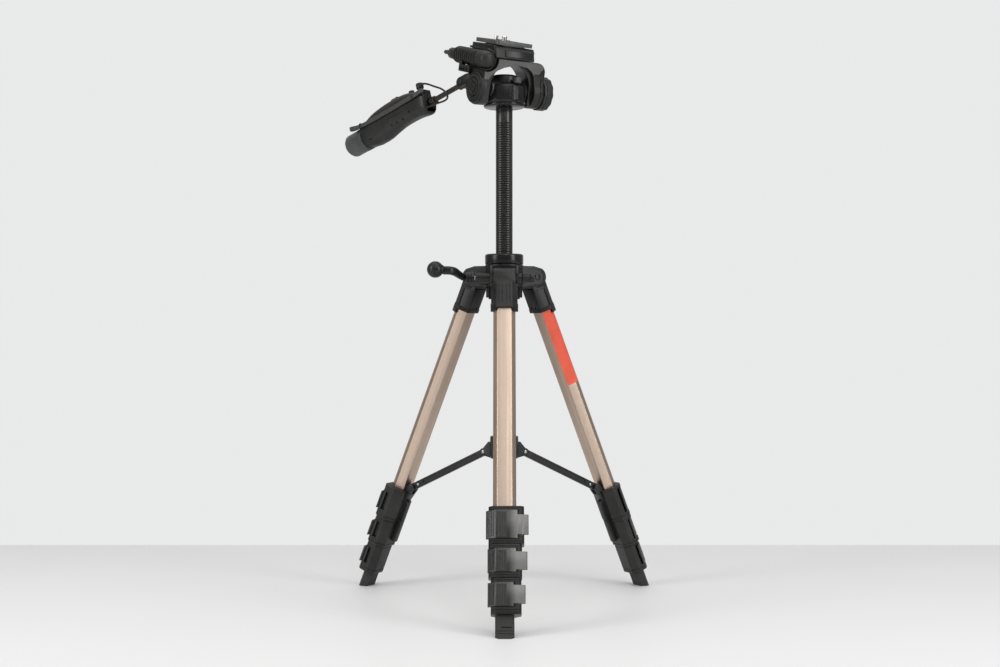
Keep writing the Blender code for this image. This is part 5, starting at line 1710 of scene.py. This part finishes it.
out = wnode("ShaderNodeOutputWorld")
back = wnode("ShaderNodeBackground")
back.inputs["Color"].default_value = (0.815, 0.818, 0.822, 1)
fill = wnode("ShaderNodeBackground")
coords = wnode("ShaderNodeTexCoord")
parts = wnode("ShaderNodeSeparateXYZ")
tree.links.new(coords.outputs["Generated"], parts.inputs[0])
ramp = wnode("ShaderNodeMapRange")
tree.links.new(parts.outputs["Y"], ramp.inputs["Value"])
for key, v in (("From Min", 0.55), ("From Max", 0.95), ("To Min", 0.0), ("To Max", 0.50)):
    ramp.inputs[key].default_value = v
above = wnode("ShaderNodeMapRange")
tree.links.new(parts.outputs["Z"], above.inputs["Value"])
for key, v in (("From Min", 0.15), ("From Max", 0.95), ("To Min", 0.20), ("To Max", 0.56)):
    above.inputs[key].default_value = v
level = wnode("ShaderNodeMath")
tree.links.new(ramp.outputs["Result"], level.inputs[0])
tree.links.new(above.outputs["Result"], level.inputs[1])
tree.links.new(level.outputs[0], fill.inputs["Strength"])
fill.inputs["Color"].default_value = (1.0, 1.0, 1.0, 1)
seen = wnode("ShaderNodeLightPath")
mixer = wnode("ShaderNodeMixShader")
tree.links.new(seen.outputs["Is Camera Ray"], mixer.inputs["Fac"])
tree.links.new(fill.outputs[0], mixer.inputs[1])
tree.links.new(back.outputs[0], mixer.inputs[2])
tree.links.new(mixer.outputs[0], out.inputs["Surface"])


def softbox(name, where, size, watts, aim=(0, 0, 0.42), tint=(1, 1, 1)):
    data = bpy.data.lights.new(name, "AREA")
    data.shape, data.size, data.size_y = "RECTANGLE", size[0], size[1]
    data.energy, data.color = watts, tint
    o = bpy.data.objects.new(name, data)
    PARTS.objects.link(o)
    here = Vector((base.x + where[0], base.y + where[1], where[2]))
    there = Vector((base.x + aim[0], base.y + aim[1], aim[2]))
    o.matrix_world = (
        Matrix.Translation(here)
        @ (there - here).to_track_quat("-Z", "Y").to_matrix().to_4x4()
    )
    return o


softbox("softbox_left", (-1.7, -1.0, 1.0), (0.7, 1.6), 16)
softbox("softbox_right", (1.6, -1.15, 0.95), (0.7, 1.6), 15)
softbox("softbox_front", (0.42, -1.60, 1.80), (0.9, 0.8), 6, (0, 0, 0.25))
softbox("softbox_top", (0.0, -0.2, 2.3), (2.0, 1.6), 14.5, (0, 0.1, 0))

data = bpy.data.cameras.new("camera")
data.lens, data.sensor_width, data.shift_y = 50.0, 36.0, -0.0051
data.clip_start, data.clip_end = 0.05, 20
camera = bpy.data.objects.new("camera", data)
PARTS.objects.link(camera)
camera.matrix_world = (
    Matrix.Translation((base.x - 0.0049, base.y - 1.615, 0.316))
    @ Matrix.Rotation(math.pi / 2, 4, "X")
)
scene = bpy.context.scene
scene.camera = camera
scene.view_settings.view_transform = "Standard"
scene.view_settings.look = "None"

VISUAL_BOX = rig.bounds()
with open("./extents.json", "w") as f:
    json.dump(
        {
            "cad": [[round(v, 6) for v in corner] for corner in CAD_BOX],
            "visual": [[round(v, 6) for v in corner] for corner in VISUAL_BOX],
        },
        f,
    )
